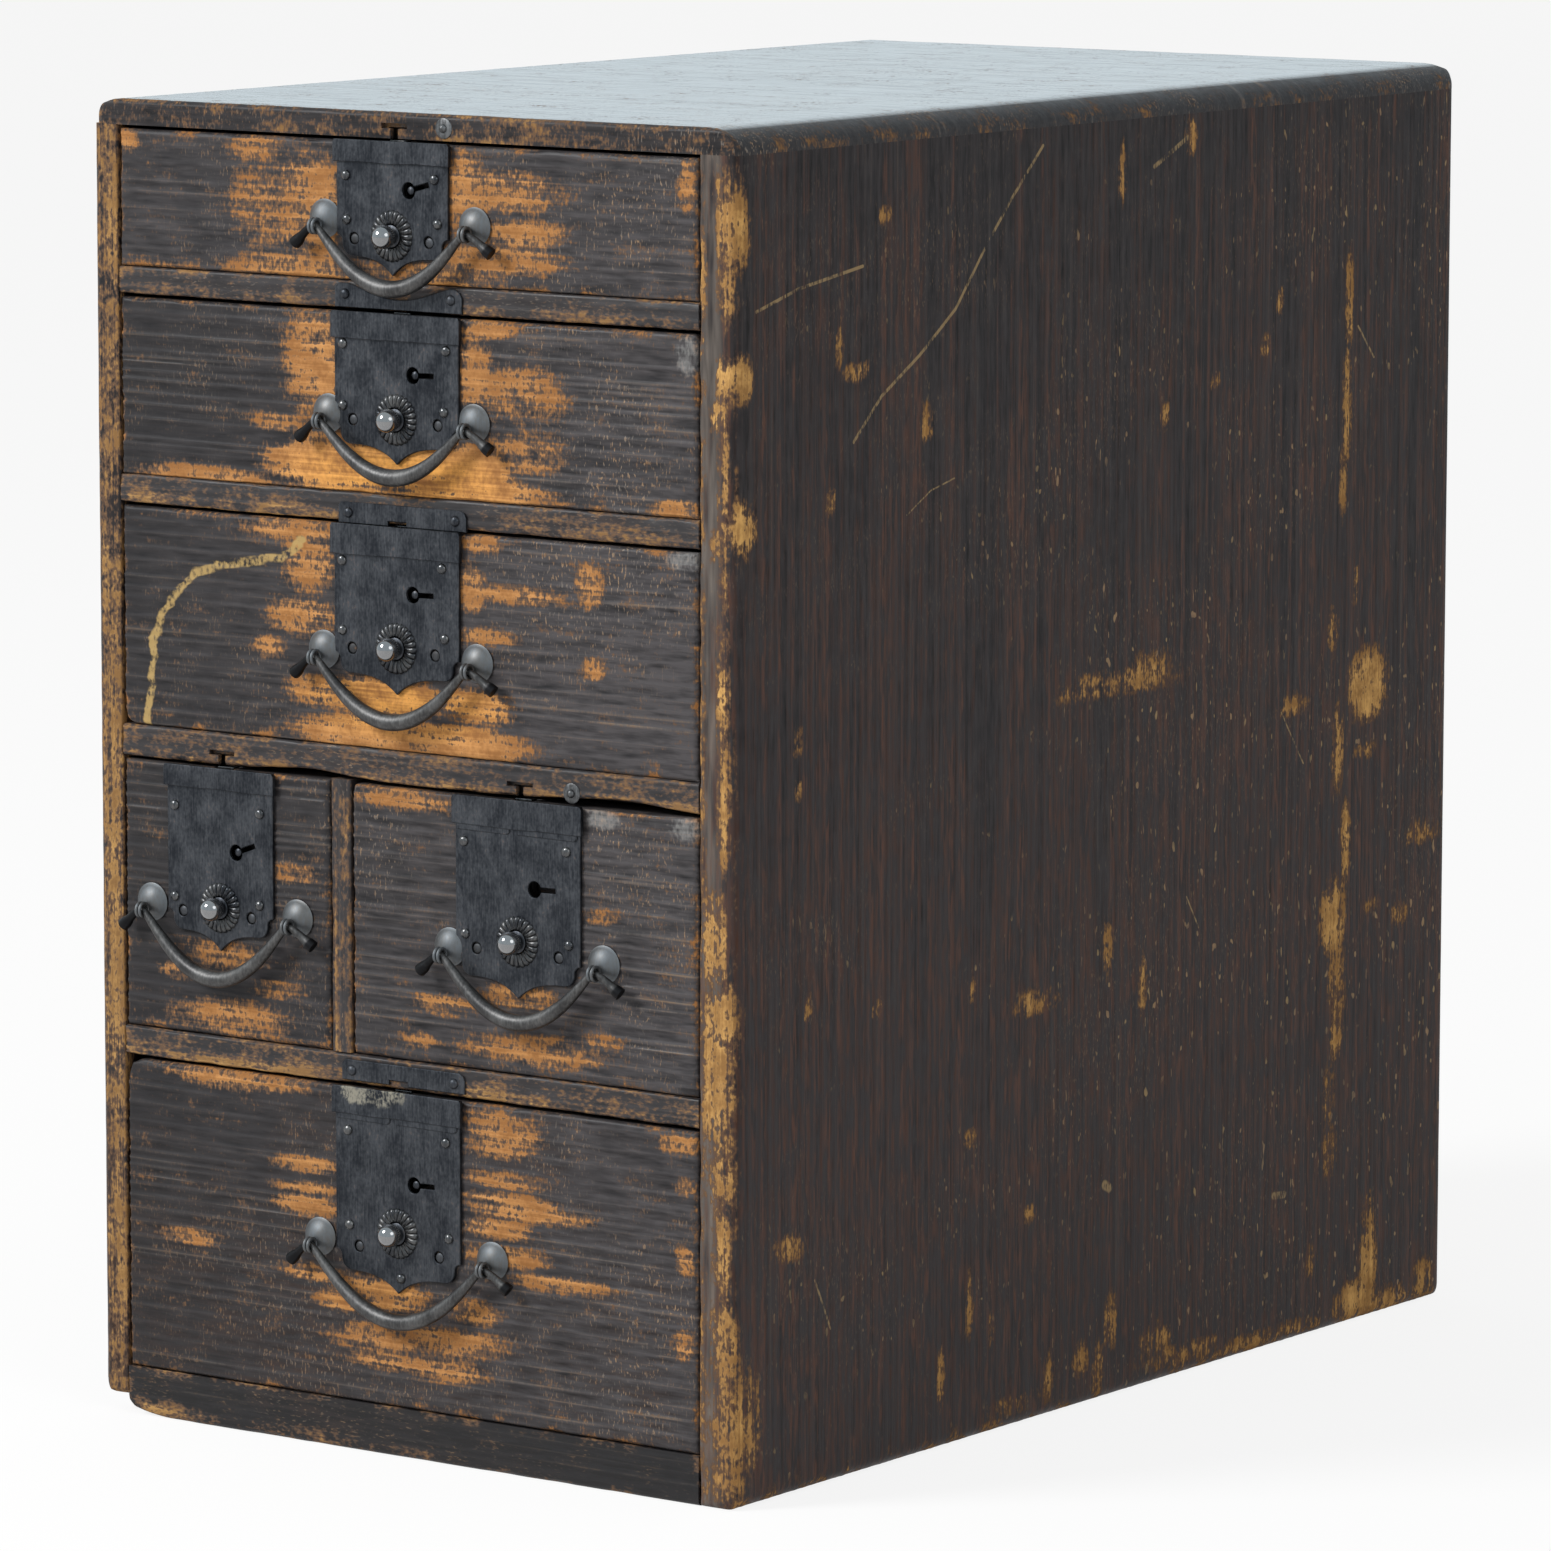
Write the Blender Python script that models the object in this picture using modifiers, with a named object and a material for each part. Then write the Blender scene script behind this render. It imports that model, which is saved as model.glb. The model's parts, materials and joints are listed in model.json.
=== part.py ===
"""A small upright tansu chest, in metres, Z up.

A lapped carcass of boards holds five rows of drawers, the fourth row divided in two. Each drawer front
carries an iron lock plate with a keyhole, a push button that lifts a bolt into the rail above, and a drop
handle hung from two eye posts. The front faces -Y and the origin lies on the ground under the middle.
"""

import math
from collections import namedtuple

import bmesh
import bpy
from mathutils import Matrix, Vector
from mathutils.geometry import interpolate_bezier

# Carcass boards
WIDTH = 0.273
DEPTH = 0.445
SIDE_LEFT_T = 0.0114  # worn thinner than the right side
SIDE_RIGHT_T = 0.0152
TOP_T = 0.0088
BOTTOM_T = 0.0170
BACK_T = 0.0070
TOP_SHOULDER = 0.0130  # run of the rounding along the long edges of the top
TOP_LIP = 0.0008  # flat left below that rounding
BOTTOM_WEAR_RUN = 0.0180  # rounding worn along the bottom's left lower edge
BOTTOM_WEAR_RISE = 0.0065
FOOT_LEFT = 0.0065  # worn foot of the left side above the ground
FOOT_EASE = 0.0050  # rounding along the feet of the sides
CORNER_ROUND = 0.0042  # radius of the sides' outer upright edges
END_EASE = 0.0018  # worn front and back edges of top and bottom

# Rows of drawers and the rails between them, from the top down
BAY_HEIGHTS = (0.0483, 0.0620, 0.0767, 0.0941, 0.1101)
RAIL_HEIGHTS = (0.0092, 0.0096, 0.0112, 0.0100)
RAIL_DEPTH = 0.0240
DUST_T = 0.0060  # board behind each rail that the drawers run on
DIVIDED_ROW = 3
DIVIDER_T = 0.0084
SMALL_BAY_W = 0.0916  # space left of the divider

# Joinery
FIT = 0.0003  # gap left at every seated joint
HOUSING = 0.0040  # depth of the grooves that hold the dust boards and the bottom's tongues
TONGUE_T = 0.0060
TONGUE_TOP = 0.0155
DIVIDER_HOUSING = 0.0020
BACK_REBATE = 0.0060

# Drawer boxes
SIDE_RUN = 0.0008  # clearance at each side of a drawer
TOP_RUN = 0.0012  # clearance over a drawer
FRONT_T = 0.0150
FRONT_EASE = 0.0012
LAP = 0.0080  # how far the tray sides enter the front
TRAY_T = 0.0070
TRAY_FLOOR_T = 0.0050
TRAY_DROP = 0.0040  # tray rim below the top of the front

# Locks, one value per drawer where they differ
PLATE_WIDTHS = (0.0470, 0.0525, 0.0530, 0.0462, 0.0522, 0.0533)
PLATE_HEIGHTS = (0.0446, 0.0502, 0.0562, 0.0628, 0.0666, 0.0690)
PLATE_SHIFTS = (-0.0028, -0.0014, -0.0018, -0.0016, -0.0009, -0.0024)
BAND_HEIGHTS = (0.0072, 0.0088, 0.0098, 0.0070, 0.0094, 0.0090)
PLATE_T = 0.0012
BAND_T = 0.0008  # how far the top band stands proud of the plate
BAND_LIP = 0.0010  # how far it overhangs the plate's sides
BAND_RISE = 0.0004  # how far it rises over the plate's top
NOTCH_RISE = 0.0130  # foot of the straight sides above the plate's point
NOTCH = 0.0024  # cut in at the foot of each straight side
HEEL_ROUND = 0.0040  # rounded lower corners
HEEL_RISE = 0.0060  # lower corners above the plate's point
KEY_DROPS = (0.0158, 0.0199, 0.0220, 0.0282, 0.0291, 0.0309)
KEY_TILTS = (15.0, 1.0, 1.0, 20.0, 1.0, 2.0)  # degrees that the slot rises to the right
KEY_SIDE = 0.0070  # keyhole to the right of the plate's middle
KEY_R = 0.0028
KEY_SLOT_L = 0.0088
KEY_SLOT_T = 0.0017
KEY_POCKET = 0.0060  # depth of the hollow behind the keyhole
KNOB_DROPS = (0.0312, 0.0351, 0.0405, 0.0478, 0.0473, 0.0482)
KNOB_R = 0.0037
KNOB_LIFT = 0.0046  # middle of the knob above its rosette
KNOB_TRAVEL = 0.0040
KNOB_RUN = 0.0004
STEM_R = 0.0024
STEM_TIP = 0.0025  # how far the stem reaches into the front at rest
STEM_POINT_R = 0.0003
ROSETTE_R = 0.0088
ROSETTE_CROWN_R = 0.0070
ROSETTE_H = 0.0013
BOLT_W = 0.0070
BOLT_T = 0.0030
BOLT_SET = 0.0020  # front of the bolt behind the drawer's face
BOLT_SHOW = 0.0006  # bolt above the drawer's top edge at rest
BOLT_RUN = 0.0004
SLOTTED_DRAWERS = (0, 3, 4)  # those with a T-shaped slot in the wood above the lock
SLOT_STEM_W = 0.0032
SLOT_STEM_H = 0.0033
SLOT_BAR_W = 0.0110
SLOT_BAR_H = 0.0018

# Drop handles
EYE_DROPS = (0.0288, 0.0367, 0.0453, 0.0507, 0.0540, 0.0553)
SMALL_EYE_INSET = 0.01375  # eyes of the small drawer's handle from the ends of its space
EYE_GAPS = (0.0634, 0.0617, 0.0653, SMALL_BAY_W - 2 * SMALL_EYE_INSET, 0.0644, 0.0741)
HANDLE_SHIFTS = (-0.0003, 0.0000, -0.0008, -0.0004, 0.0022, 0.0004)
BOW_DROPS = (0.0226, 0.0203, 0.0225, 0.0240, 0.0226, 0.0252)  # pivot to the lowest edge
BOW_R = 0.0029
BOW_FULLNESS = 0.55  # how far the bow stays level, of its half width
NECK_R = 0.0012  # handle inside its eyes
NECK_RUN = 0.0028  # how straight the handle passes through them
STUB_R = 0.0016
STUB_OUT = 0.0098
STUB_DOWN = 0.0062
STUB_BACK = 0.0018
EYE_OUT = 0.0062  # pivot in front of the drawer's face
EYE_DROOP = 0.0022  # pivot below the post's shank
EYE_WIRE_R = 0.0006
EYE_RUN = 0.0005
DOME_R = 0.0066
DOME_H = 0.0036
SHANK_R = 0.0015
CLENCH_L = 0.0120  # legs bent over inside the drawer
CLENCH_W = 0.0024
CLENCH_T = 0.0012

# Fineness of round work
ROUND_STEPS = 5
CORNER_STEPS = 3
TURN_STEPS = 12
CUT_REACH = 0.0050  # how far a cutter runs past what it cuts

HEIGHT = BOTTOM_T + sum(BAY_HEIGHTS) + sum(RAIL_HEIGHTS) + TOP_T
FACE = -DEPTH / 2
REAR = DEPTH / 2
LEFT = SIDE_LEFT_T - WIDTH / 2  # inner faces of the sides
RIGHT = WIDTH / 2 - SIDE_RIGHT_T
INNER_FACES = {"left": (-1, -LEFT), "right": (1, RIGHT)}  # sign and distance from the chest's middle
DIVIDER_X = LEFT + SMALL_BAY_W + DIVIDER_T / 2
PANEL_FACE = REAR - BACK_T  # where boards end in front of the back panel
RAIL_BACK = FACE + RAIL_DEPTH
GROOVE_DEPTH = STEM_TIP + KNOB_TRAVEL + BOLT_RUN
MORTISE_H = KNOB_TRAVEL + BOLT_SHOW - TOP_RUN + BOLT_RUN
KNOB_OUT = FIT + PLATE_T + ROSETTE_H + KNOB_LIFT
EYE_R = NECK_R + EYE_RUN + EYE_WIRE_R

Bay = namedtuple("Bay", "row left right floor ceiling")


def clear_scene():
    for old in list(bpy.data.objects):
        bpy.data.objects.remove(old, do_unlink=True)


def new_group(name):
    group = bpy.data.collections.new(name)
    bpy.context.scene.collection.children.link(group)
    return group


def finish(name, colour, roughness, metallic):
    """A plain material in the piece's own colour."""
    made = bpy.data.materials.new(name)
    made.use_nodes = True
    shader = made.node_tree.nodes["Principled BSDF"]
    shader.inputs["Base Color"].default_value = (*colour, 1.0)
    shader.inputs["Roughness"].default_value = roughness
    shader.inputs["Metallic"].default_value = metallic
    return made


def place(name, data, where=(0, 0, 0), parent=None, material=None, group=None):
    """An object in the chest's collection, or in another one."""
    made = bpy.data.objects.new(name, data)
    made.location = where
    made.parent = parent
    if material:
        data.materials.clear()
        data.materials.append(material)
    (group or CHEST).objects.link(made)
    return made


def box_mesh(name, size):
    """A box of the given size about its middle."""
    mesh = bpy.data.meshes.new(name)
    form = bmesh.new()
    bmesh.ops.create_cube(form, size=1.0)
    bmesh.ops.scale(form, vec=Vector(size), verts=form.verts)
    form.to_mesh(mesh)
    form.free()
    return mesh


def box(name, low, high, parent=None, material=None, group=None):
    """A box between two corners, with its origin at its middle."""
    low = Vector(low)
    high = Vector(high)
    return place(name, box_mesh(name, high - low), (low + high) / 2, parent, material, group)


def hide_as_cutter(cutter):
    cutter.hide_render = True
    cutter.display_type = "WIRE"
    return cutter


def cutting_box(name, low, high, parent=None):
    return hide_as_cutter(box(name, low, high, parent, group=CUTTERS))


def cutting_side_box(name, sign, xs, ys, zs, parent=None):
    """A cutting box on the right, or its mirror image on the left."""
    left, right = sorted(sign * x for x in xs)
    return cutting_box(name, (left, ys[0], zs[0]), (right, ys[1], zs[1]), parent)


def rod_mesh(name, radius, length, tip_radius=None):
    """A cylinder, or a cone frustum, along Y about its middle, with its tip towards -Y."""
    mesh = bpy.data.meshes.new(name)
    form = bmesh.new()
    bmesh.ops.create_cone(
        form,
        cap_ends=True,
        segments=TURN_STEPS,
        radius1=radius,
        radius2=radius if tip_radius is None else tip_radius,
        depth=length,
        matrix=Matrix.Rotation(math.pi / 2, 4, "X"),
    )
    form.to_mesh(mesh)
    form.free()
    return mesh


def cutting_rod(name, radius, middle, length, parent=None):
    return hide_as_cutter(place(name, rod_mesh(name, radius, length), middle, parent, group=CUTTERS))


def combine(target, other, operation):
    step = target.modifiers.new(other.name, "BOOLEAN")
    step.operation = operation
    step.solver = "EXACT"
    step.object = other


def cut(target, cutter):
    combine(target, cutter, "DIFFERENCE")


def join(target, other):
    combine(target, hide_as_cutter(other), "UNION")


def arc(middle, radii, first, last, steps=ROUND_STEPS):
    """Points of an elliptical arc between two angles in degrees."""
    points = []
    for step in range(steps + 1):
        angle = math.radians(first + (last - first) * step / steps)
        points.append((middle[0] + radii[0] * math.cos(angle), middle[1] + radii[1] * math.sin(angle)))
    return points


def baked_mesh(made):
    """The object's evaluated mesh, welded, after which the object is removed."""
    graph = bpy.context.evaluated_depsgraph_get()
    mesh = bpy.data.meshes.new_from_object(made.evaluated_get(graph))
    form = bmesh.new()
    form.from_mesh(mesh)
    bmesh.ops.remove_doubles(form, verts=form.verts, dist=1e-6)
    bmesh.ops.recalc_face_normals(form, faces=form.faces)
    form.to_mesh(mesh)
    form.free()
    bpy.data.objects.remove(made, do_unlink=True)
    return mesh


def smooth(mesh):
    mesh.shade_smooth()
    mesh.set_sharp_from_angle(angle=math.radians(40))


OUTLINE_PLANES = {
    "X": Matrix(((0, 0, 1), (1, 0, 0), (0, 1, 0))).to_4x4(),
    "Y": Matrix.Rotation(math.pi / 2, 4, "X"),
    "Z": Matrix.Identity(4),
}


def outline_mesh(name, points, thickness, axis):
    """A flat outline made solid along an axis: (y, z) points for X, (x, z) for Y and (x, y) for Z."""
    curve = bpy.data.curves.new(name, "CURVE")
    curve.dimensions = "2D"
    curve.fill_mode = "BOTH"
    curve.extrude = thickness / 2
    spline = curve.splines.new("POLY")
    spline.points.add(len(points) - 1)
    for knot, (across, up) in zip(spline.points, points):
        knot.co = (across, up, 0, 1)
    spline.use_cyclic_u = True
    mesh = baked_mesh(place(name, curve))
    mesh.transform(OUTLINE_PLANES[axis])
    smooth(mesh)
    return mesh


def turned_mesh(name, profile):
    """A profile of (radius, height) points, from the top down, turned about Z."""
    mesh = bpy.data.meshes.new(name)
    points = [(radius, 0, height) for radius, height in profile]
    mesh.from_pydata(points, [(n, n + 1) for n in range(len(points) - 1)], [])
    blank = place(name, mesh)
    screw = blank.modifiers.new("Turn", "SCREW")
    screw.steps = TURN_STEPS
    screw.render_steps = TURN_STEPS
    screw.use_merge_vertices = True
    screw.merge_threshold = 1e-6
    return baked_mesh(blank)


def ease(board, width, picked=None):
    """Rounds the edges of a board: all, or those whose two ends are picked."""
    bevel = board.modifiers.new("Worn edges", "BEVEL")
    bevel.width = width
    bevel.segments = 2
    if picked:
        bevel.limit_method = "WEIGHT"
        weights = board.data.attributes.new("bevel_weight_edge", "FLOAT", "EDGE")
        for edge in board.data.edges:
            ends = [board.data.vertices[n].co for n in edge.vertices]
            weights.data[edge.index].value = float(all(picked(end) for end in ends))


def row_bounds():
    """Floor and ceiling of each row, from the top down."""
    rows = []
    ceiling = HEIGHT - TOP_T
    for bay, below in zip(BAY_HEIGHTS, RAIL_HEIGHTS + (BOTTOM_T,)):
        rows.append((ceiling - bay, ceiling))
        ceiling -= bay + below
    return rows


def drawer_bays():
    """The spaces that the drawers fill, row by row and from left to right."""
    bays = []
    for row, (floor, ceiling) in enumerate(row_bounds()):
        if row == DIVIDED_ROW:
            bays.append(Bay(row, LEFT, DIVIDER_X - DIVIDER_T / 2, floor, ceiling))
            bays.append(Bay(row, DIVIDER_X + DIVIDER_T / 2, RIGHT, floor, ceiling))
        else:
            bays.append(Bay(row, LEFT, RIGHT, floor, ceiling))
    return bays


def make_top():
    """The top lies over the sides, with its long edges rounded through its thickness."""
    half = WIDTH / 2
    radii = (TOP_SHOULDER, TOP_T - TOP_LIP)
    outline = [(-half, 0), (half, 0)]
    outline += arc((half - TOP_SHOULDER, TOP_LIP), radii, 0, 90)
    outline += arc((TOP_SHOULDER - half, TOP_LIP), radii, 90, 180)
    mesh = outline_mesh("top_board", outline, DEPTH, "Y")
    top = place("top_board", mesh, (0, 0, HEIGHT - TOP_T), material=CASE_WOOD)
    ease(top, END_EASE, lambda end: abs(abs(end.y) - DEPTH / 2) < FIT and end.z > TOP_T / 2)
    return top


def make_bottom():
    """The bottom lies between the sides, with a tongue in each and its left lower edge worn round."""
    left = LEFT + FIT
    right = RIGHT - FIT
    outline = [(right, BOTTOM_T), (left, BOTTOM_T)]
    radii = (BOTTOM_WEAR_RUN, BOTTOM_WEAR_RISE)
    outline += arc((left + BOTTOM_WEAR_RUN, BOTTOM_WEAR_RISE), radii, 180, 270)
    outline.append((right, 0))
    bottom = place("bottom_board", outline_mesh("bottom_board", outline, DEPTH, "Y"), material=CASE_WOOD)
    ease(bottom, END_EASE, lambda end: abs(abs(end.y) - DEPTH / 2) < FIT and end.z < BOTTOM_T / 2)
    reach = HOUSING - FIT
    join(bottom, box(
        "bottom_tongues",
        (LEFT - reach, RAIL_BACK + FIT, TONGUE_TOP - TONGUE_T),
        (RIGHT + reach, PANEL_FACE - FIT, TONGUE_TOP),
        group=CUTTERS,
    ))


def cut_foot(side, sign, foot):
    """Rounds a side's lower outer edge."""
    outer = WIDTH / 2
    inset = outer - FOOT_EASE
    outline = [
        (inset, foot - CUT_REACH),
        (outer + CUT_REACH, foot - CUT_REACH),
        (outer + CUT_REACH, foot + FOOT_EASE),
    ]
    outline += arc((inset, foot + FOOT_EASE), (FOOT_EASE, FOOT_EASE), 0, -90)
    name = f"{side.name}_foot"
    mesh = outline_mesh(name, [(sign * x, z) for x, z in outline], DEPTH + 2 * CUT_REACH, "Y")
    cut(side, hide_as_cutter(place(name, mesh, group=CUTTERS)))


def make_side(end, foot):
    """A side stands under the top, grooved for bottom and dust boards and rebated for the back."""
    name = f"side_{end}"
    sign, inner = INNER_FACES[end]
    outer = WIDTH / 2
    radii = (CORNER_ROUND, CORNER_ROUND)
    outline = [(inner, REAR), (inner, FACE)]
    outline += arc((outer - CORNER_ROUND, FACE + CORNER_ROUND), radii, 270, 360, CORNER_STEPS)
    outline += arc((outer - CORNER_ROUND, REAR - CORNER_ROUND), radii, 0, 90, CORNER_STEPS)
    high = HEIGHT - TOP_T - FIT
    mesh = outline_mesh(name, [(sign * x, y) for x, y in outline], high - foot, "Z")
    side = place(name, mesh, (0, 0, (foot + high) / 2), material=CASE_WOOD)
    cut_foot(side, sign, foot)
    tongues = [(floor, DUST_T) for floor, _ in row_bounds()[:-1]]
    tongues.append((TONGUE_TOP, TONGUE_T))
    for number, (top, thickness) in enumerate(tongues, 1):
        cut(side, cutting_side_box(
            f"{name}_groove_{number}",
            sign,
            (inner - CUT_REACH, inner + HOUSING),
            (RAIL_BACK, PANEL_FACE),
            (top - thickness - FIT, top + FIT),
        ))
    cut(side, cutting_side_box(
        f"{name}_rebate",
        sign,
        (inner - CUT_REACH, inner + BACK_REBATE),
        (PANEL_FACE, REAR + CUT_REACH),
        (BOTTOM_T, high + CUT_REACH),
    ))


def make_back():
    reach = BACK_REBATE - FIT
    box(
        "back_panel",
        (LEFT - reach, PANEL_FACE + FIT, BOTTOM_T + FIT),
        (RIGHT + reach, REAR, HEIGHT - TOP_T - FIT),
        material=TRAY_WOOD,
    )


def make_shelf(number, top, rail_height):
    """A rail across the front with the dust board behind it, housed in both sides."""
    name = f"shelf_{number}"
    end = PANEL_FACE - FIT
    outline = [
        (FACE, top - rail_height),
        (RAIL_BACK, top - rail_height),
        (RAIL_BACK, top - DUST_T),
        (end, top - DUST_T),
        (end, top),
        (FACE, top),
    ]
    reach = HOUSING - FIT
    mesh = outline_mesh(name, outline, RIGHT - LEFT + 2 * reach, "X")
    shelf = place(name, mesh, ((LEFT + RIGHT) / 2, 0, 0), material=CASE_WOOD)
    for side, (sign, inner) in INNER_FACES.items():
        cut(shelf, cutting_side_box(
            f"{name}_{side}_shoulder",
            sign,
            (inner - FIT, inner + reach + CUT_REACH),
            (FACE - CUT_REACH, RAIL_BACK + FIT),
            (top - rail_height - CUT_REACH, top + CUT_REACH),
        ))
    return shelf


def make_divider(shelf_below, row):
    """The upright between the two drawers of one row, tongued into the shelf below it."""
    floor, ceiling = row_bounds()[row]
    rail_height = RAIL_HEIGHTS[row - 1]
    behind = RAIL_BACK + FIT
    tongue = floor - DIVIDER_HOUSING + FIT
    head = ceiling + rail_height - DUST_T - FIT
    outline = [
        (FACE, floor + FIT),
        (behind, floor + FIT),
        (behind, tongue),
        (PANEL_FACE, tongue),
        (PANEL_FACE, head),
        (behind, head),
        (behind, ceiling - FIT),
        (FACE, ceiling - FIT),
    ]
    mesh = outline_mesh("divider", outline, DIVIDER_T, "X")
    place("divider", mesh, (DIVIDER_X, 0, 0), material=CASE_WOOD)
    half = DIVIDER_T / 2 + FIT
    cut(shelf_below, cutting_box(
        "divider_groove",
        (DIVIDER_X - half, RAIL_BACK, floor - DIVIDER_HOUSING),
        (DIVIDER_X + half, REAR, floor + CUT_REACH),
    ))


def cut_bolt_mortise(rail, drawer, bay):
    """The hole in the wood above a drawer for its bolt, with a T slot in front where there is one."""
    name = f"drawer_{drawer + 1}"
    middle = (bay.left + bay.right) / 2 + PLATE_SHIFTS[drawer]
    half = BOLT_W / 2 + BOLT_RUN
    cut(rail, cutting_box(
        f"{name}_mortise",
        (middle - half, FACE + BOLT_SET - BOLT_RUN, bay.ceiling - CUT_REACH),
        (middle + half, FACE + BOLT_SET + BOLT_T + BOLT_RUN, bay.ceiling + MORTISE_H),
    ))
    if drawer in SLOTTED_DRAWERS:
        slot_top = bay.ceiling + SLOT_STEM_H + SLOT_BAR_H
        cut(rail, cutting_box(
            f"{name}_slot_stem",
            (middle - SLOT_STEM_W / 2, FACE - CUT_REACH, bay.ceiling - CUT_REACH),
            (middle + SLOT_STEM_W / 2, FACE + BOLT_SET, bay.ceiling + SLOT_STEM_H + SLOT_BAR_H / 2),
        ))
        cut(rail, cutting_box(
            f"{name}_slot_bar",
            (middle - SLOT_BAR_W / 2, FACE - CUT_REACH, bay.ceiling + SLOT_STEM_H),
            (middle + SLOT_BAR_W / 2, FACE + BOLT_SET, slot_top),
        ))


def make_carcass(bays):
    over = [make_top()]
    make_bottom()
    make_side("left", FOOT_LEFT)
    make_side("right", 0)
    make_back()
    for number, (rail_height, (floor, _)) in enumerate(zip(RAIL_HEIGHTS, row_bounds()), 1):
        over.append(make_shelf(number, floor, rail_height))
    make_divider(over[DIVIDED_ROW + 1], DIVIDED_ROW)
    for drawer, bay in enumerate(bays):
        cut_bolt_mortise(over[bay.row], drawer, bay)


def make_front(name, home, half, top, lock_x, key_z, knob_z, posts):
    """A drawer front, lapped for the tray's sides, grooved for the bolt and bored for the posts."""
    front = box(f"{name}_front", (-half, 0, FIT), (half, FRONT_T, top), home, FRONT_WOOD)
    ease(front, FRONT_EASE)
    for side, sign in (("left", -1), ("right", 1)):
        cut(front, cutting_side_box(
            f"{name}_lap_{side}",
            sign,
            (half - TRAY_T - FIT, half + CUT_REACH),
            (FRONT_T - LAP, FRONT_T + CUT_REACH),
            (-CUT_REACH, top + CUT_REACH),
            home,
        ))
    groove = BOLT_W / 2 + BOLT_RUN
    cut(front, cutting_box(
        f"{name}_bolt_groove",
        (lock_x - groove, -CUT_REACH, knob_z - KNOB_R - KNOB_RUN),
        (lock_x + groove, GROOVE_DEPTH, top + CUT_REACH),
        home,
    ))
    rise = KEY_R + KEY_SLOT_T
    cut(front, cutting_box(
        f"{name}_key_pocket",
        (lock_x, -CUT_REACH, key_z - rise),
        (lock_x + KEY_SIDE + KEY_SLOT_L + KEY_SLOT_T, KEY_POCKET, key_z + rise),
        home,
    ))
    for side, (x, z) in posts.items():
        middle = (x, FRONT_T / 2, z)
        cut(front, cutting_rod(f"{name}_bore_{side}", SHANK_R + FIT, middle, FRONT_T + 2 * CUT_REACH, home))


def make_tray(name, home, half, top):
    """Sides, back and floor of a drawer box, which run from the front's laps to the back panel."""
    start = FRONT_T - LAP + FIT
    end = PANEL_FACE - FACE
    inner = half - TRAY_T
    tray = box(f"{name}_tray", (-half, start, FIT), (half, end, top - TRAY_DROP), home, TRAY_WOOD)
    cut(tray, cutting_box(
        f"{name}_inside",
        (-inner, start - CUT_REACH, FIT + TRAY_FLOOR_T),
        (inner, end - TRAY_T, top + CUT_REACH),
        home,
    ))
    cut(tray, cutting_box(
        f"{name}_floor_end",
        (-inner, start - CUT_REACH, -CUT_REACH),
        (inner, FRONT_T + FIT, TRAY_FLOOR_T + CUT_REACH),
        home,
    ))


def plate_outline(width, height):
    """A lock plate seen from the front, hanging from (0, 0) to its point."""
    half = width / 2
    foot = NOTCH_RISE - height
    heel = HEEL_RISE - height
    heel_x = half - NOTCH - HEEL_ROUND
    right = [(half, 0), (half, foot)]
    right += arc((half, foot - NOTCH), (NOTCH, NOTCH), 90, 180, CORNER_STEPS)
    right += arc((heel_x, heel + HEEL_ROUND), (HEEL_ROUND, HEEL_ROUND), 0, -90, CORNER_STEPS)
    ogee = interpolate_bezier(
        (heel_x, heel),
        (heel_x / 2, heel),
        (heel_x / 4, heel - HEEL_RISE / 4),
        (0, -height),
        ROUND_STEPS + 1,
    )
    right += [(point.x, point.y) for point in ogee[1:]]
    left = [(-x, z) for x, z in reversed(right[:-1])]
    return right + left


def make_plate(name, home, drawer, lock_x, top, key_z, knob_z, posts):
    """A lock plate with its folded top band and rosette, pierced for the key and the knob."""
    width = PLATE_WIDTHS[drawer]
    face = -FIT - PLATE_T
    mesh = outline_mesh(f"{name}_lock_plate", plate_outline(width, PLATE_HEIGHTS[drawer]), PLATE_T, "Y")
    plate = place(f"{name}_lock_plate", mesh, (lock_x, face + PLATE_T / 2, top), home, IRON)
    reach = width / 2 + BAND_LIP
    join(plate, box(
        f"{name}_band",
        (lock_x - reach, face - BAND_T, top - BAND_HEIGHTS[drawer]),
        (lock_x + reach, face + PLATE_T / 2, top + BAND_RISE),
        home,
        group=CUTTERS,
    ))
    rosette = rod_mesh(f"{name}_rosette", ROSETTE_R, ROSETTE_H + PLATE_T / 2, ROSETTE_CROWN_R)
    middle = face + PLATE_T / 2 - (ROSETTE_H + PLATE_T / 2) / 2
    join(plate, place(f"{name}_rosette", rosette, (lock_x, middle, knob_z), home, group=CUTTERS))
    through = 4 * CUT_REACH
    cut(plate, cutting_rod(f"{name}_knob_hole", KNOB_R + KNOB_RUN, (lock_x, face, knob_z), through, home))
    key_x = lock_x + KEY_SIDE
    cut(plate, cutting_rod(f"{name}_keyhole", KEY_R, (key_x, face, key_z), through, home))
    slot = box_mesh(f"{name}_key_slot", (KEY_SLOT_L, through, KEY_SLOT_T))
    slot.transform(Matrix.Translation((KEY_SLOT_L / 2, 0, 0)))
    slot = hide_as_cutter(place(f"{name}_key_slot", slot, (key_x, face, key_z), home, group=CUTTERS))
    slot.rotation_euler.y = -math.radians(KEY_TILTS[drawer])
    cut(plate, slot)
    for side, (x, z) in posts.items():
        if abs(x - lock_x) < width / 2 + DOME_R + FIT:
            cut(plate, cutting_rod(f"{name}_scallop_{side}", DOME_R + FIT, (x, face, z), through, home))


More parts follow.
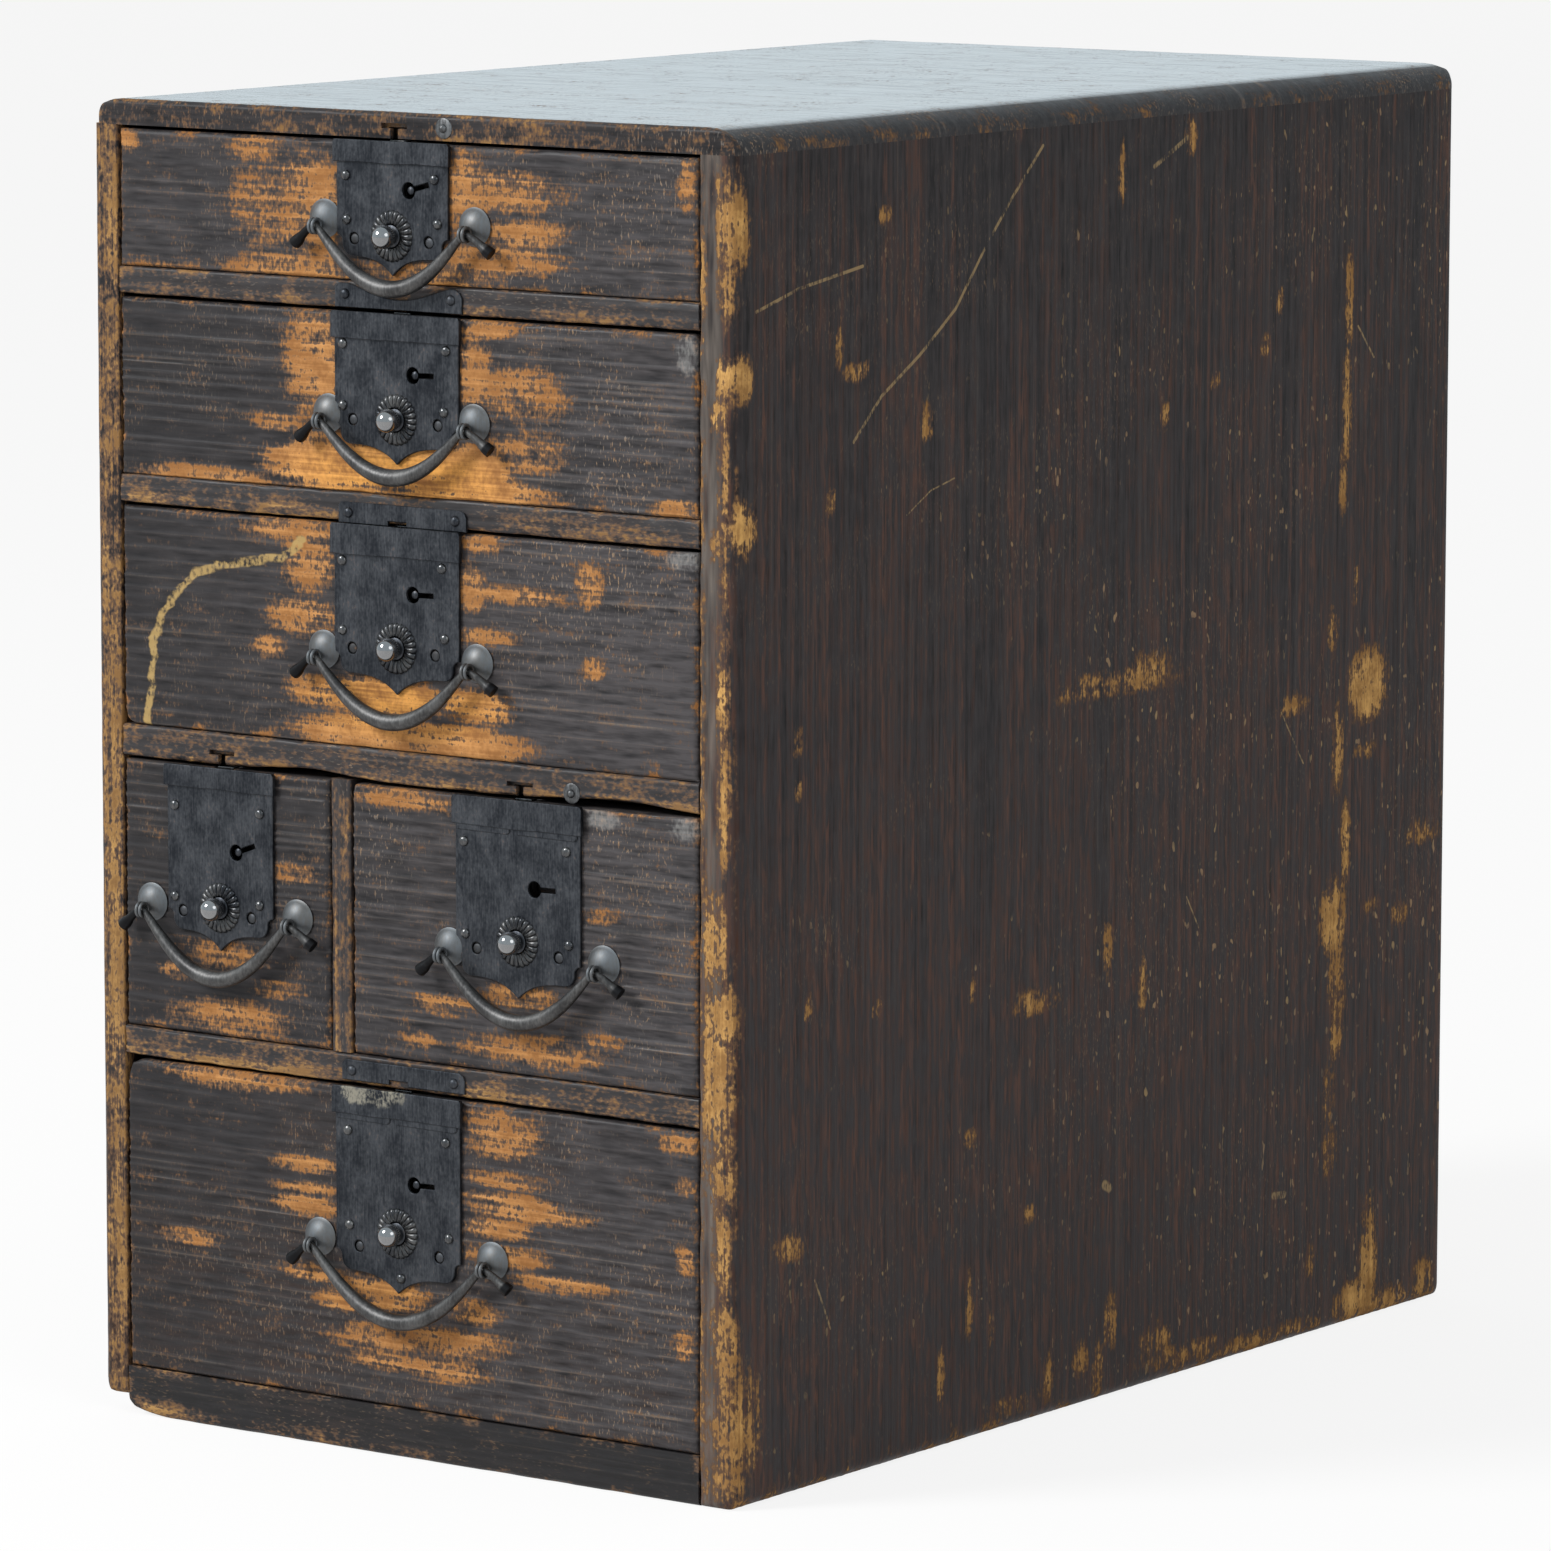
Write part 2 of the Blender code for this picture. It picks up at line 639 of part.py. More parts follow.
def make_bolt(name, home, lock_x, knob_z, top):
    """The flat bolt behind a lock plate, its foot cut at 45 degrees to ride on the knob's stem."""
    contact = STEM_TIP + STEM_POINT_R + FIT * math.sqrt(2)
    behind = BOLT_SET + BOLT_T
    outline = [
        (BOLT_SET, contact - BOLT_SET),
        (behind, contact - behind),
        (behind, top + BOLT_SHOW - knob_z),
        (BOLT_SET, top + BOLT_SHOW - knob_z),
    ]
    mesh = outline_mesh(f"{name}_lock_bolt", outline, BOLT_W, "X")
    place(f"{name}_lock_bolt", mesh, (lock_x, 0, knob_z), home, IRON)


def knob_mesh():
    """A ball on a stem with a 45 degree point, turned about its length."""
    neck = math.acos(STEM_R / KNOB_R)
    profile = [(0, KNOB_OUT + KNOB_R)]
    for step in range(1, ROUND_STEPS + 1):
        angle = math.pi / 2 - step / ROUND_STEPS * (math.pi / 2 + neck)
        profile.append((KNOB_R * math.cos(angle), KNOB_OUT + KNOB_R * math.sin(angle)))
    profile += [(STEM_R, STEM_R - STEM_POINT_R - STEM_TIP), (STEM_POINT_R, -STEM_TIP), (0, -STEM_TIP)]
    mesh = turned_mesh("knob", profile)
    smooth(mesh)
    return mesh


def post_mesh():
    """A domed washer with the split pin through it: an eye in front and legs bent over behind."""
    ball = (DOME_R ** 2 + DOME_H ** 2) / (2 * DOME_H)
    spread = math.degrees(math.asin(DOME_R / ball))
    inside = -FRONT_T - FIT
    profile = arc((0, FIT + DOME_H - ball), (ball, ball), 90, 90 - spread)
    profile[0] = (0, FIT + DOME_H)
    profile += [(SHANK_R, FIT), (SHANK_R, inside - CLENCH_T / 2), (0, inside - CLENCH_T / 2)]
    post = place("post", turned_mesh("post", profile))
    bpy.ops.mesh.primitive_torus_add(
        major_radius=EYE_R,
        minor_radius=EYE_WIRE_R,
        major_segments=TURN_STEPS,
        minor_segments=ROUND_STEPS,
        location=(0, -EYE_DROOP, EYE_OUT),
        rotation=(0, math.pi / 2, 0),
    )
    eye = bpy.context.object
    clench = box(
        "clench",
        (-CLENCH_W / 2, -CLENCH_L / 2, inside - CLENCH_T),
        (CLENCH_W / 2, CLENCH_L / 2, inside),
    )
    join(post, eye)
    join(post, clench)
    mesh = baked_mesh(post)
    for used in (eye, clench):
        bpy.data.objects.remove(used, do_unlink=True)
    smooth(mesh)
    return mesh


def make_bail(name, home, drawer, eye_z):
    """A drop handle: thin through the eyes that it hangs in, thick along the bow, with turned-out ends."""
    half = EYE_GAPS[drawer] / 2
    drop = BOW_DROPS[drawer] - BOW_R
    curve = bpy.data.curves.new(f"{name}_bail", "CURVE")
    curve.dimensions = "3D"
    curve.fill_mode = "FULL"
    curve.bevel_depth = BOW_R
    curve.bevel_resolution = 2
    curve.resolution_u = ROUND_STEPS
    curve.use_fill_caps = True
    spline = curve.splines.new("BEZIER")
    spline.radius_interpolation = "EASE"
    lean = Vector((STUB_OUT, STUB_BACK, -STUB_DOWN))
    mirrored_lean = Vector((-STUB_OUT, STUB_BACK, -STUB_DOWN))
    eye = Vector((half, 0, 0))
    level = Vector((-NECK_RUN, 0, 0))
    knots = [
        (eye + lean, -lean / 3, STUB_R),
        (eye, level, NECK_R),
        (Vector((0, 0, -drop)), Vector((-half * BOW_FULLNESS, 0, 0)), BOW_R),
        (-eye, level, NECK_R),
        (mirrored_lean - eye, mirrored_lean / 3, STUB_R),
    ]
    spline.bezier_points.add(len(knots) - 1)
    for knot, (point, onward, radius) in zip(spline.bezier_points, knots):
        knot.handle_left_type = "FREE"
        knot.handle_right_type = "FREE"
        knot.co = point
        knot.handle_left = point - onward
        knot.handle_right = point + onward
        knot.radius = radius / BOW_R
    middle = (HANDLE_SHIFTS[drawer], -EYE_OUT, eye_z)
    place(f"{name}_bail", curve, middle, home, IRON)


def make_drawer(drawer, bay, knob, post):
    """One drawer with everything that rides on it, under an empty at the foot of its face."""
    name = f"drawer_{drawer + 1}"
    home = place(f"{name}_slide", None, ((bay.left + bay.right) / 2, FACE, bay.floor))
    half = (bay.right - bay.left) / 2 - SIDE_RUN
    top = bay.ceiling - bay.floor - TOP_RUN
    lock_x = PLATE_SHIFTS[drawer]
    key_z = top - KEY_DROPS[drawer]
    knob_z = top - KNOB_DROPS[drawer]
    eye_z = top - EYE_DROPS[drawer]
    reach = EYE_GAPS[drawer] / 2
    posts = {
        "left": (HANDLE_SHIFTS[drawer] - reach, eye_z + EYE_DROOP),
        "right": (HANDLE_SHIFTS[drawer] + reach, eye_z + EYE_DROOP),
    }
    make_front(name, home, half, top, lock_x, key_z, knob_z, posts)
    make_tray(name, home, half, top)
    make_plate(name, home, drawer, lock_x, top, key_z, knob_z, posts)
    make_bolt(name, home, lock_x, knob_z, top)
    button = place(f"{name}_lock_button", knob, (lock_x, 0, knob_z), home, IRON)
    button.rotation_euler.x = math.pi / 2
    make_bail(name, home, drawer, eye_z)
    for side, (x, z) in posts.items():
        pin = place(f"{name}_post_{side}", post, (x, 0, z), home, IRON)
        pin.rotation_euler.x = math.pi / 2


clear_scene()
CHEST = new_group("tansu_chest")
CUTTERS = new_group("tansu_chest_cutters")
CASE_WOOD = finish("stained case wood", (0.030, 0.020, 0.017), 0.50, 0.0)
FRONT_WOOD = finish("worn drawer front wood", (0.060, 0.034, 0.022), 0.55, 0.0)
TRAY_WOOD = finish("bare drawer wood", (0.300, 0.190, 0.095), 0.70, 0.0)
IRON = finish("blackened iron", (0.030, 0.032, 0.036), 0.45, 0.8)

BAYS = drawer_bays()
make_carcass(BAYS)
KNOB = knob_mesh()
POST = post_mesh()
for order, space in enumerate(BAYS):
    make_drawer(order, space, KNOB, POST)
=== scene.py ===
"""Looks of a small upright tansu chest: worn stained boards and blackened iron on a pale stage.

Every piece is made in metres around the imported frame, rides on one of its bodies and, where it is finer than a
node, stands in for that node. The front faces -Y and the origin lies on the ground under the middle.
"""

import json
import math

import bpy
import numpy as np
from bpy.props import FloatProperty, FloatVectorProperty, IntProperty, PointerProperty
from mathutils import Matrix, Vector
from mathutils.geometry import interpolate_bezier, tessellate_polygon


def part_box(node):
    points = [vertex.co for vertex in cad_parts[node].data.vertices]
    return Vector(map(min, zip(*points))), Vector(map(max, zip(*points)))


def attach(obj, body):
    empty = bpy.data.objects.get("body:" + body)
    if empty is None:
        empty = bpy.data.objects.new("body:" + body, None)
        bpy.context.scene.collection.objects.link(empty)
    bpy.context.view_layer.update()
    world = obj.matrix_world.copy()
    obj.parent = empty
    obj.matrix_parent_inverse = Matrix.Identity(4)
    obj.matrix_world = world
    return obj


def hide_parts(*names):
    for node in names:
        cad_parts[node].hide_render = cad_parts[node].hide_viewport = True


bl_info = {
    "name": "Tansu chest",
    "version": (1, 0, 0),
    "blender": (4, 5, 0),
    "location": "View3D > Sidebar > Tansu",
    "description": "Builds the worn boards, the iron and the stage of a small tansu chest",
    "category": "Object",
}

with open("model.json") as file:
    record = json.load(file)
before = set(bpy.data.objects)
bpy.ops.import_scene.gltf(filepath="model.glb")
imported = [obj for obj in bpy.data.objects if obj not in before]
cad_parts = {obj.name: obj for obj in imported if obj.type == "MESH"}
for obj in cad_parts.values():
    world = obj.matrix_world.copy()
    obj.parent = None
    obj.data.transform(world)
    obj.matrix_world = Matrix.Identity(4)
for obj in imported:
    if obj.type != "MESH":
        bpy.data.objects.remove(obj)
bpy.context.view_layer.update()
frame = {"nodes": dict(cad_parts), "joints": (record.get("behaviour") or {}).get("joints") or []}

MM = 0.001
AXIS_X, AXIS_Y, AXIS_Z = range(3)
DRAWERS = range(1, 7)
HANDS = ("left", "right")

# Places that the frame gives
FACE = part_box("side_right")[0].y
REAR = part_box("side_right")[1].y
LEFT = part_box("side_left")[1].x
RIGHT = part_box("side_right")[0].x
SHELVES = [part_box(f"shelf_{number}") for number in range(1, 5)]
PIVOTS = {joint["child"]: Vector(joint["pos_m"]) for joint in frame["joints"] if joint["type"] == "hinge"}

# Joinery, as in the solids
FIT = 0.3 * MM
HOUSING = 4.0 * MM
DUST_T = 6.0 * MM
TONGUE_T = 6.0 * MM
TONGUE_TOP = 15.5 * MM
RAIL_BACK = FACE + 24.0 * MM
PANEL_FACE = REAR - 7.0 * MM
BACK_REBATE = 6.0 * MM
BOTTOM_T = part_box("bottom_board")[1].z
FRONT_T = 15.0 * MM
LAP = 8.0 * MM
TRAY_T = 7.0 * MM
TRAY_FLOOR_T = 5.0 * MM
DIVIDER_HOUSING = 2.0 * MM
HIDDEN_EDGE = 20.0 * MM  # keeps an edge that meets another board from being worn
BEFORE, PAST = -1.0, 1.0  # ends of a cut that runs right out of its board
ALL = (BEFORE, PAST)
UNDER_SHELF = {1: (2,), 2: (3,), 3: (4, 5), 4: (6,)}  # drawers under each shelf
DIVIDER_SHELF = 4  # the shelf that the divider stands on
BACK_SEAMS = (0.34, 0.69)  # shares of the back's height
BACK_SEAM_W = 0.7 * MM
PEG_LEVELS = (0.03, 0.17, 0.31, 0.38, 0.52, 0.66, 0.72, 0.84, 0.97)  # shares of the back's height

# Locks, as in the solids; one value per drawer where they differ
PLATE_T = 1.2 * MM
BAND_T = 1.1 * MM
BAND_LIP = 1.0 * MM
SHEET_CREASE = 30  # degrees; keeps the eased edges of sheet iron crisp
SOFT_CREASE = 48  # degrees; the same for everything else
BAND_HEIGHTS = np.array((7.2, 8.8, 9.8, 7.0, 9.4, 9.0)) * MM
KEY_DROPS = np.array((15.8, 19.9, 22.0, 28.2, 29.1, 30.9)) * MM
KEY_TILTS = (15, 1, 1, 20, 1, 2)  # degrees
KEY_SIDE = 7.0 * MM
KEY_R = 2.8 * MM
KEY_SLOT_L = 8.8 * MM
KEY_SLOT_T = 1.7 * MM
KEY_POCKET = 6.0 * MM
PINLESS = 5  # the drawer whose keyhole has lost its pin
PIN_HOLE_R = 2.1 * MM
NOTCH_RISE = 13.0 * MM
NOTCH = 2.4 * MM
HEEL_ROUND = 4.0 * MM
HEEL_RISE = 6.0 * MM
KNOB_R = 3.7 * MM
STEM_R = 2.4 * MM
COLLAR_R = 3.75 * MM  # the button's shoulder, which runs clear of the bolt's groove
BALL_R = 4.05 * MM  # the button's head, which just passes its hole
BALL_STAND = 4.6 * MM  # its middle in front of the plate
ROSETTE_R = 8.8 * MM
ROSETTE_H = 1.3 * MM
# Rings of a rosette from its hole to its rim: share of the way, share of the height, depth between the petals
PETAL_RINGS = (
    (0.0, 0.25, 0.0), (0.04, 0.62, 0.0), (0.16, 0.80, 0.25), (0.34, 0.95, 0.45), (0.54, 1.0, 0.55),
    (0.74, 0.92, 0.62), (0.90, 0.66, 0.66), (1.0, 0.0, 0.0),
)
BOLT_W = 7.0 * MM
BOLT_SET = 2.0 * MM
BOLT_T = 3.0 * MM
BOLT_RUN = 0.4 * MM
GROOVE_DEPTH = 6.9 * MM
MORTISE_H = 3.8 * MM
SLOTTED = (1, 4, 5)  # drawers under a T-shaped slot
SLOT_STEM = (3.2 * MM, 3.3 * MM)  # width, height
SLOT_BAR = (11.0 * MM, 1.8 * MM)

# Drop handles, as in the solids
DOME_R = 6.6 * MM
DOME_H = 3.6 * MM
SHANK_R = 1.5 * MM
NECK_R = 1.2 * MM
NECK_RUN = 2.8 * MM
BOW_R = 2.9 * MM
BOW_FULLNESS = 0.55
STUB_R = 1.6 * MM
BAR_SIDES = 18
STUB_LEAN = Vector((9.8, 1.8, -6.2)) * MM
EYE_R = 2.3 * MM
EYE_WIRE_R = 0.6 * MM
EYE_SPREAD = 0.75 * MM  # the two wires of an eye to either side of its middle

# Stage
FLOOR_REACH = 12.0
LAMP_AIM = Vector((0, -0.1, 0.22))
CAMERA_RAYS = ("Is Camera Ray",)
SHINY_RAYS = ("Is Glossy Ray", "Is Transmission Ray")

# Where hands and keys have rubbed the stain off each drawer front, in millimetres:
# across from the lock's middle, down from the top edge, half width, half height and, for some, a strength
RUBBED = {
    1: (
        (-38, 22, 13, 19, 0.85), (-31, 24, 5, 18, 1.2), (-58, 4, 11, 4, 0.8), (-58, 25, 12, 13, 0.6),
        (-44, 44, 26, 3.4), (-117, 4, 3.6, 3),
        (30, 15, 6, 13, 1.2), (47, 14.5, 21, 6), (55, 28, 16, 4), (44, 37, 26, 4), (16, 44, 30, 3), (121, 9, 1.5, 7),
    ),
    2: (
        (-37, 17, 10, 18), (-31, 20, 3, 18, 1.3), (-52, 39, 9, 2.2), (-27, 52, 27, 8.5, 1.6), (-83, 59, 27, 2),
        (38, 2, 10, 3), (32, 17, 5, 11), (50, 24, 19, 8, 0.75), (53, 43, 14, 6, 0.75), (31, 50, 14, 6.5, 1.7),
        (30, 57, 30, 4, 1.6), (115, 58, 9, 2.3), (0, 48, 30, 6, 1.9),
    ),
    3: (
        (-46, 3, 19, 3.2), (-38, 15, 10, 8.5), (-41, 33, 13, 5), (-56, 44, 5, 2.8), (-35, 58, 12, 4.5),
        (-16, 71, 26, 5, 1.65), (35, 2.4, 8, 2.5), (31, 18, 4, 7), (51, 19, 16, 2.2), (37, 34, 10, 1.8),
        (80, 14, 4, 6.5), (33, 58, 14, 5, 1.2), (26, 71, 26, 5, 1.65), (82, 41, 3, 3), (-6, 58, 22, 6, 1.75),
    ),
    4: (
        (3, 86, 22, 5.5, 0.85), (2, 64, 16, 3.5, 0.8), (23, 74, 9, 2.2, 0.8), (32, 33, 8, 2.4, 0.65),
        (-20, 71, 7, 2.2, 0.7),
    ),
    5: (
        (6, 84, 29, 4.5, 0.95), (0, 66, 15, 3, 0.85), (-33, 72, 13, 3, 0.75), (-42, 85, 6, 2.2, 0.7),
        (-50, 3.3, 21, 2.7, 0.85), (35, 78, 7, 2.4, 0.7), (34, 36, 6, 2.2, 0.55),
    ),
    6: (
        (-70, 2, 28, 3.5), (-41, 29, 13, 1.9), (-41, 37.5, 11, 1.9), (-39, 43, 13, 2.8), (-91, 60, 12, 1.8),
        (-39, 66, 11, 2.3), (-26, 74, 8, 3.5), (-10, 86, 19, 4), (-6, 93, 14, 2.8), (-6, 70, 16, 5.5),
        (44, 9, 14, 8), (45, 25, 15, 2), (48, 31.5, 18, 1.5), (54, 35.5, 24, 2), (42, 42, 13, 2.9), (46, 51, 17, 3),
        (69, 58, 20, 2), (33, 72, 9, 3.3), (22, 83, 22, 3.8), (17, 93, 17, 3.3), (120, 19, 2.5, 2.5),
        (120, 44, 2.5, 4), (120, 72, 2.5, 4.4), (118, 5, 7, 3),
    ),
}
# Pale bruises on the fronts' corners, each partly a painted glint of light, as above
BRUISED_AND_GLINTING = {2: ((120, 7, 3, 6),), 5: ((69, 3.5, 5.5, 3.2), (34, 3.5, 6, 2.5)), 3: ((120, 2.5, 6, 3),)}
# Corners of the fronts that are worn round: drawer, end along X, end along Z, radius
LOST_CORNERS = ((3, -1, -1, 5.5 * MM), (6, -1, 1, 8.0 * MM), (5, -1, 1, 3.0 * MM), (2, 1, 1, 2.5 * MM))
# How brown the stain of each front is
FRONT_WARMTH = {1: 0.15, 2: 0.05, 3: 0.25, 4: 0.05, 5: 0.15, 6: 0.50}
# How dulled the stain of each front is at the chest's left and right
FRONT_HAZE = {1: (0.50, 0.70), 2: (0.25, 0.75), 3: (0.30, 0.95), 4: (0.30, 0.60), 5: (0.35, 0.85), 6: (0.25, 0.75)}
# How far the grain of some fronts stands out, against the others
FRONT_RELIEF = {1: 0.5, 3: 0.7}
# How far fingers have polished each front under its lock
PULLED = {1: 0.2, 2: 1.0, 3: 0.85, 4: 0.0, 5: 0.1, 6: 0.3}
# A yellowed drip down one drawer, in millimetres from the lock's middle and the top edge
DRIPPED = 3
DRIP = (
    (-41, 7), (-51, 14), (-57, 14.5), (-80, 18), (-89, 21.5), (-96, 28.5), (-103.5, 36.5), (-106.5, 45.5),
    (-108.5, 61), (-110, 74),
)
DRIP_W = 3.2 * MM
# Bare places on the right side, in millimetres: Y, Z, half length along Y, half height, strength
SIDE_RUBBED = (
    # down the rear edge
    (166, 235, 12, 11, 2.1), (142, 257, 3, 8, 0.9), (157, 272, 1.5, 6, 0.8), (146, 214, 3.5, 14, 1.0),
    (165, 211, 6, 2.4, 0.9), (152, 179, 2.5, 14, 1.1), (144, 152, 7.5, 12, 1.6), (147, 128, 5, 14, 1.0),
    (147, 108, 4, 7, 1.0), (143, 88, 4, 10, 0.7), (143, 66, 4, 9, 0.6), (151, 372, 1.6, 22, 0.9),
    (150, 340, 2.0, 22, 1.1), (148, 310, 1.8, 12, 1.0), (115, 233, 9, 2.4, 1.2), (205, 176, 12, 2.4, 1.0),
    (171, 154, 5, 2.4, 0.9), (190, 148, 6, 2.6, 0.9),
    # foot
    (170, 40, 3.5, 6, 1.3), (171, 24, 5, 14, 1.6), (161, 7, 12, 7, 1.6), (192, 4, 22, 4, 1.3), (208, 8, 8, 7, 1.0),
    (132, 27, 3, 6, 0.8), (100, 4, 40, 2.5, 0.9), (45, 8, 26, 3, 0.9), (29, 16, 9, 4, 1.0), (0, 27, 3, 9, 1.1),
    (-7, 10, 3, 10, 1.0), (-19, 16, 4, 5, 1.0), (-39, 13, 2.5, 7, 1.0), (-60, 8, 16, 2.5, 0.7),
    (-104, 24, 1.2, 10, 0.9), (-87, 48, 1.2, 10, 0.9), (-74, 37, 2, 4, 1.0),
    # knocks on the flat
    (4, 253, 42, 2.8, 0.95), (24, 257, 11, 3.2, 1.0), (19, 145, 2, 10, 1.0), (-3, 161, 2.5, 9, 0.8),
    (46, 440, 3, 5, 1.2), (3, 430, 1.6, 9, 0.9), (105, 378, 2, 4, 0.9), (96, 363, 4, 2.5, 1.0), (63, 352, 2, 2, 1.2),
    (31, 344, 2, 3, 1.1), (-165, 383, 1.2, 6, 1.0), (-156, 373, 6, 2.4, 1.0), (-115, 352, 3, 5, 0.9),
    (-170, 331, 1.8, 3.5, 1.4), (-139, 424, 3, 2.2, 1.0), (-188, 238, 1.5, 3, 1.1), (-188, 253, 2.5, 1.8, 0.9),
    (-86, 156, 1.4, 2.5, 1.3), (-142, 158, 2.5, 2.5, 1.0), (-182, 163, 1.2, 3, 1.0), (-47, 147, 14, 2.8, 0.85),
    (-193, 84, 9, 2.6, 0.95), (-87, 105, 3, 2.5, 0.9), (-50, 73, 3, 2, 1.3),
    # along the front edge
    (-221, 423, 4.5, 11, 1.45), (-220, 375, 5, 6, 1.7), (-218, 327, 5.5, 7, 1.6), (-216, 30, 6.5, 17, 0.95),
)
# The same on the left side, and its scratches
LEFT_RUBBED = (
    (-220, 404, 3, 10, 1.3), (-219, 322, 2.5, 16, 1.0), (-218, 168, 3, 22, 1.3), (-217, 62, 5, 16, 1.4),
    (60, 9, 24, 3, 1.0), (176, 17, 9, 10, 1.3), (208, 128, 5, 16, 1.2), (196, 292, 1.8, 16, 1.0),
    (122, 254, 9, 1.8, 1.1), (-42, 331, 2, 5, 1.2), (31, 188, 2.5, 7, 1.1), (-121, 92, 3, 3, 1.2),
    (-96, 402, 4, 1.8, 1.1), (84, 371, 1.6, 6, 1.1),
)
LEFT_SCRATCHES = ((((-88, 246), (-52, 262), (-18, 270)), 1.1), (((96, 148), (118, 122)), 0.8))
# Bare places on the right side's front edge, as above but X, Z
EDGE_RUBBED = (
    (131, 437, 4, 6, 1.0), (132, 404, 2, 9, 1.4), (129, 363, 2.5, 4, 1.3), (129.5, 321, 2.5, 4, 1.2),
    (131, 300, 1.4, 80, 0.75), (130.5, 272, 2, 7, 1.2), (131.5, 235, 1.6, 20, 1.0), (127, 190, 4, 14, 1.6),
    (128, 160, 6, 20, 1.5), (128, 138, 6, 12, 1.3), (131, 112, 4, 16, 1.0), (131, 86, 2.5, 14, 1.2),
    (131, 55, 3.5, 16, 1.2), (132, 28, 5, 14, 0.9), (128, 9, 8, 5, 0.8), (122.5, 405, 1.0, 20, 0.9),
    (122.5, 250, 0.8, 90, 0.6), (123, 60, 1.2, 50, 0.8),
)
# Scratches on the right side, in millimetres: runs of (Y, Z), then the width
SCRATCHES = (
    (((-46, 442), (-65, 425), (-80, 410), (-98, 390), (-119, 376), (-141, 364), (-157, 350)), 1.3),
    (((-212, 397), (-188, 403), (-152, 408)), 1.2),
    (((44, 440), (23, 431)), 1.8),
    (((157, 366), (168, 354)), 0.9),
    (((-178, 71), (-169, 53)), 0.9),
    (((-126, 323), (-112, 330), (-98, 333)), 0.6),
    (((108, 231), (123, 211)), 0.7),
    (((47, 172), (55, 160)), 0.7),
    (((-4, 76.5), (-1, 75)), 3.6),
    (((106, 55.5), (113, 55)), 2.8),
)
RAIL_WEAR = (0.13, 0.22, 0.20, 0.31)  # how far the four rails' faces are rubbed
# One rail is worn hollow below: its number, then the middle, half length and rise of each hollow
HOLLOW_SHELF = 3
HOLLOWS = ((-44 * MM, 20 * MM, 2.2 * MM), (88 * MM, 28 * MM, 2.6 * MM))
LOST_FOOT = (18 * MM, 6.5 * MM)  # run and rise of the bottom board's worn left corner
# Iron on the rails, in millimetres: the drawer below, from and to across the lock's middle, lower edge over the
# rail's own, height
STRIKES = ((2, -26.4, 27.3, 0.3, 8.2), (3, -25.0, 29.2, -0.75, 7.2), (6, -24.2, 28.3, 1.2, 7.0))
STRIKE_T = 1.0 * MM
HOLLOWED = 2  # the drawer under the strike with a hollowed top
STRIKE_EAR = 9.0 * MM  # length of its raised ends
STRIKE_WAIST = 3.4 * MM  # height left in its middle
# Rivets and sunk pins of the lock plates, in millimetres from the lock's middle and the front's top edge
RIVETS = {
    1: ((-19.5, 11.6), (18.0, 11.6), (-19.2, 26.4), (19.3, 26.4)),
    2: ((-22.6, 10.6), (21.2, 10.9), (-22.7, 31.4), (20.2, 31.4)),
    3: ((-23.0, 12.2), (19.5, 12.2), (-23.0, 35.8), (20.6, 35.8)),
    4: ((-19.7, 13.8), (17.7, 13.8), (-20.0, 45.4), (17.4, 45.4)),
    5: ((-22.5, 15.2), (20.5, 15.2), (-22.0, 46.5), (21.5, 46.5)),
    6: ((-21.2, 14.7), (20.8, 14.7), (-20.7, 47.4), (22.0, 47.4), (1.4, 63.5)),
}
PINS = {
    1: ((-16.2, 32.7), (15.4, 32.7)),
    2: ((-18.6, 36.0), (17.4, 36.0)),
    3: ((-19.0, 41.7), (16.3, 41.7)),
    4: ((-16.6, 50.2), (13.5, 50.2)),
    5: ((-17.4, 51.1), (17.0, 51.1)),
    6: ((-16.8, 54.4), (17.6, 54.4)),
}
DUSTY = 6  # the drawer whose band holds old dust, and where, as above
DUST_RUN = ((-20, 0.5), (-11, 2.5), (-3, 2), (1, 0.5))
DUST_W = 6.5 * MM
LIPPED = (5, 6)  # drawers whose band has a second lip below it
WASHER_NAILS = ((16.3 * MM, 452.4 * MM), (69.0 * MM, 234.4 * MM))  # X and Z on the chest's face


def smoothstep(value, low, high):
    share = np.clip((value - low) / (high - low), 0, 1)
    return share * share * (3 - 2 * share)


def cloud(u, v, seed):
    """Smooth noise from 0 to 1 over two coordinates, the same on every run. Large odd factors scatter its corners."""
    left, low = np.floor(u).astype(np.int64), np.floor(v).astype(np.int64)
    right_share, high_share = smoothstep(u - left, 0, 1), smoothstep(v - low, 0, 1)

    def corner(step_u, step_v):
        mixed = ((left + step_u) * 374761393 + (low + step_v) * 668265263 + seed * 144269504) & 0xFFFFFFFF
        mixed = ((mixed ^ (mixed >> 13)) * 1274126177) & 0xFFFFFFFF
        return ((mixed ^ (mixed >> 16)) & 0xFFFF) / 0xFFFF

    below = corner(0, 0) * (1 - right_share) + corner(1, 0) * right_share
    above = corner(0, 1) * (1 - right_share) + corner(1, 1) * right_share
    return below * (1 - high_share) + above * high_share


def bell(value, width):
    """1 where the value is 0, falling off smoothly to either side."""
    return np.exp(-((value / width) ** 2))


def most(*values):
    """The largest of several values at each point."""
    return np.maximum.reduce(values)


def about(middle, half):
    """A run from one side of a middle to the other."""
    return middle - half, middle + half


def block(xs, ys, zs):
    """The two corners of a box, from its runs along X, Y and Z."""
    return tuple(zip(xs, ys, zs))


# Boards

ROUND_MARKS = (0, 0.06, 0.18, 0.36, 0.62, 1)  # where a rounded edge is divided, from its corner inwards


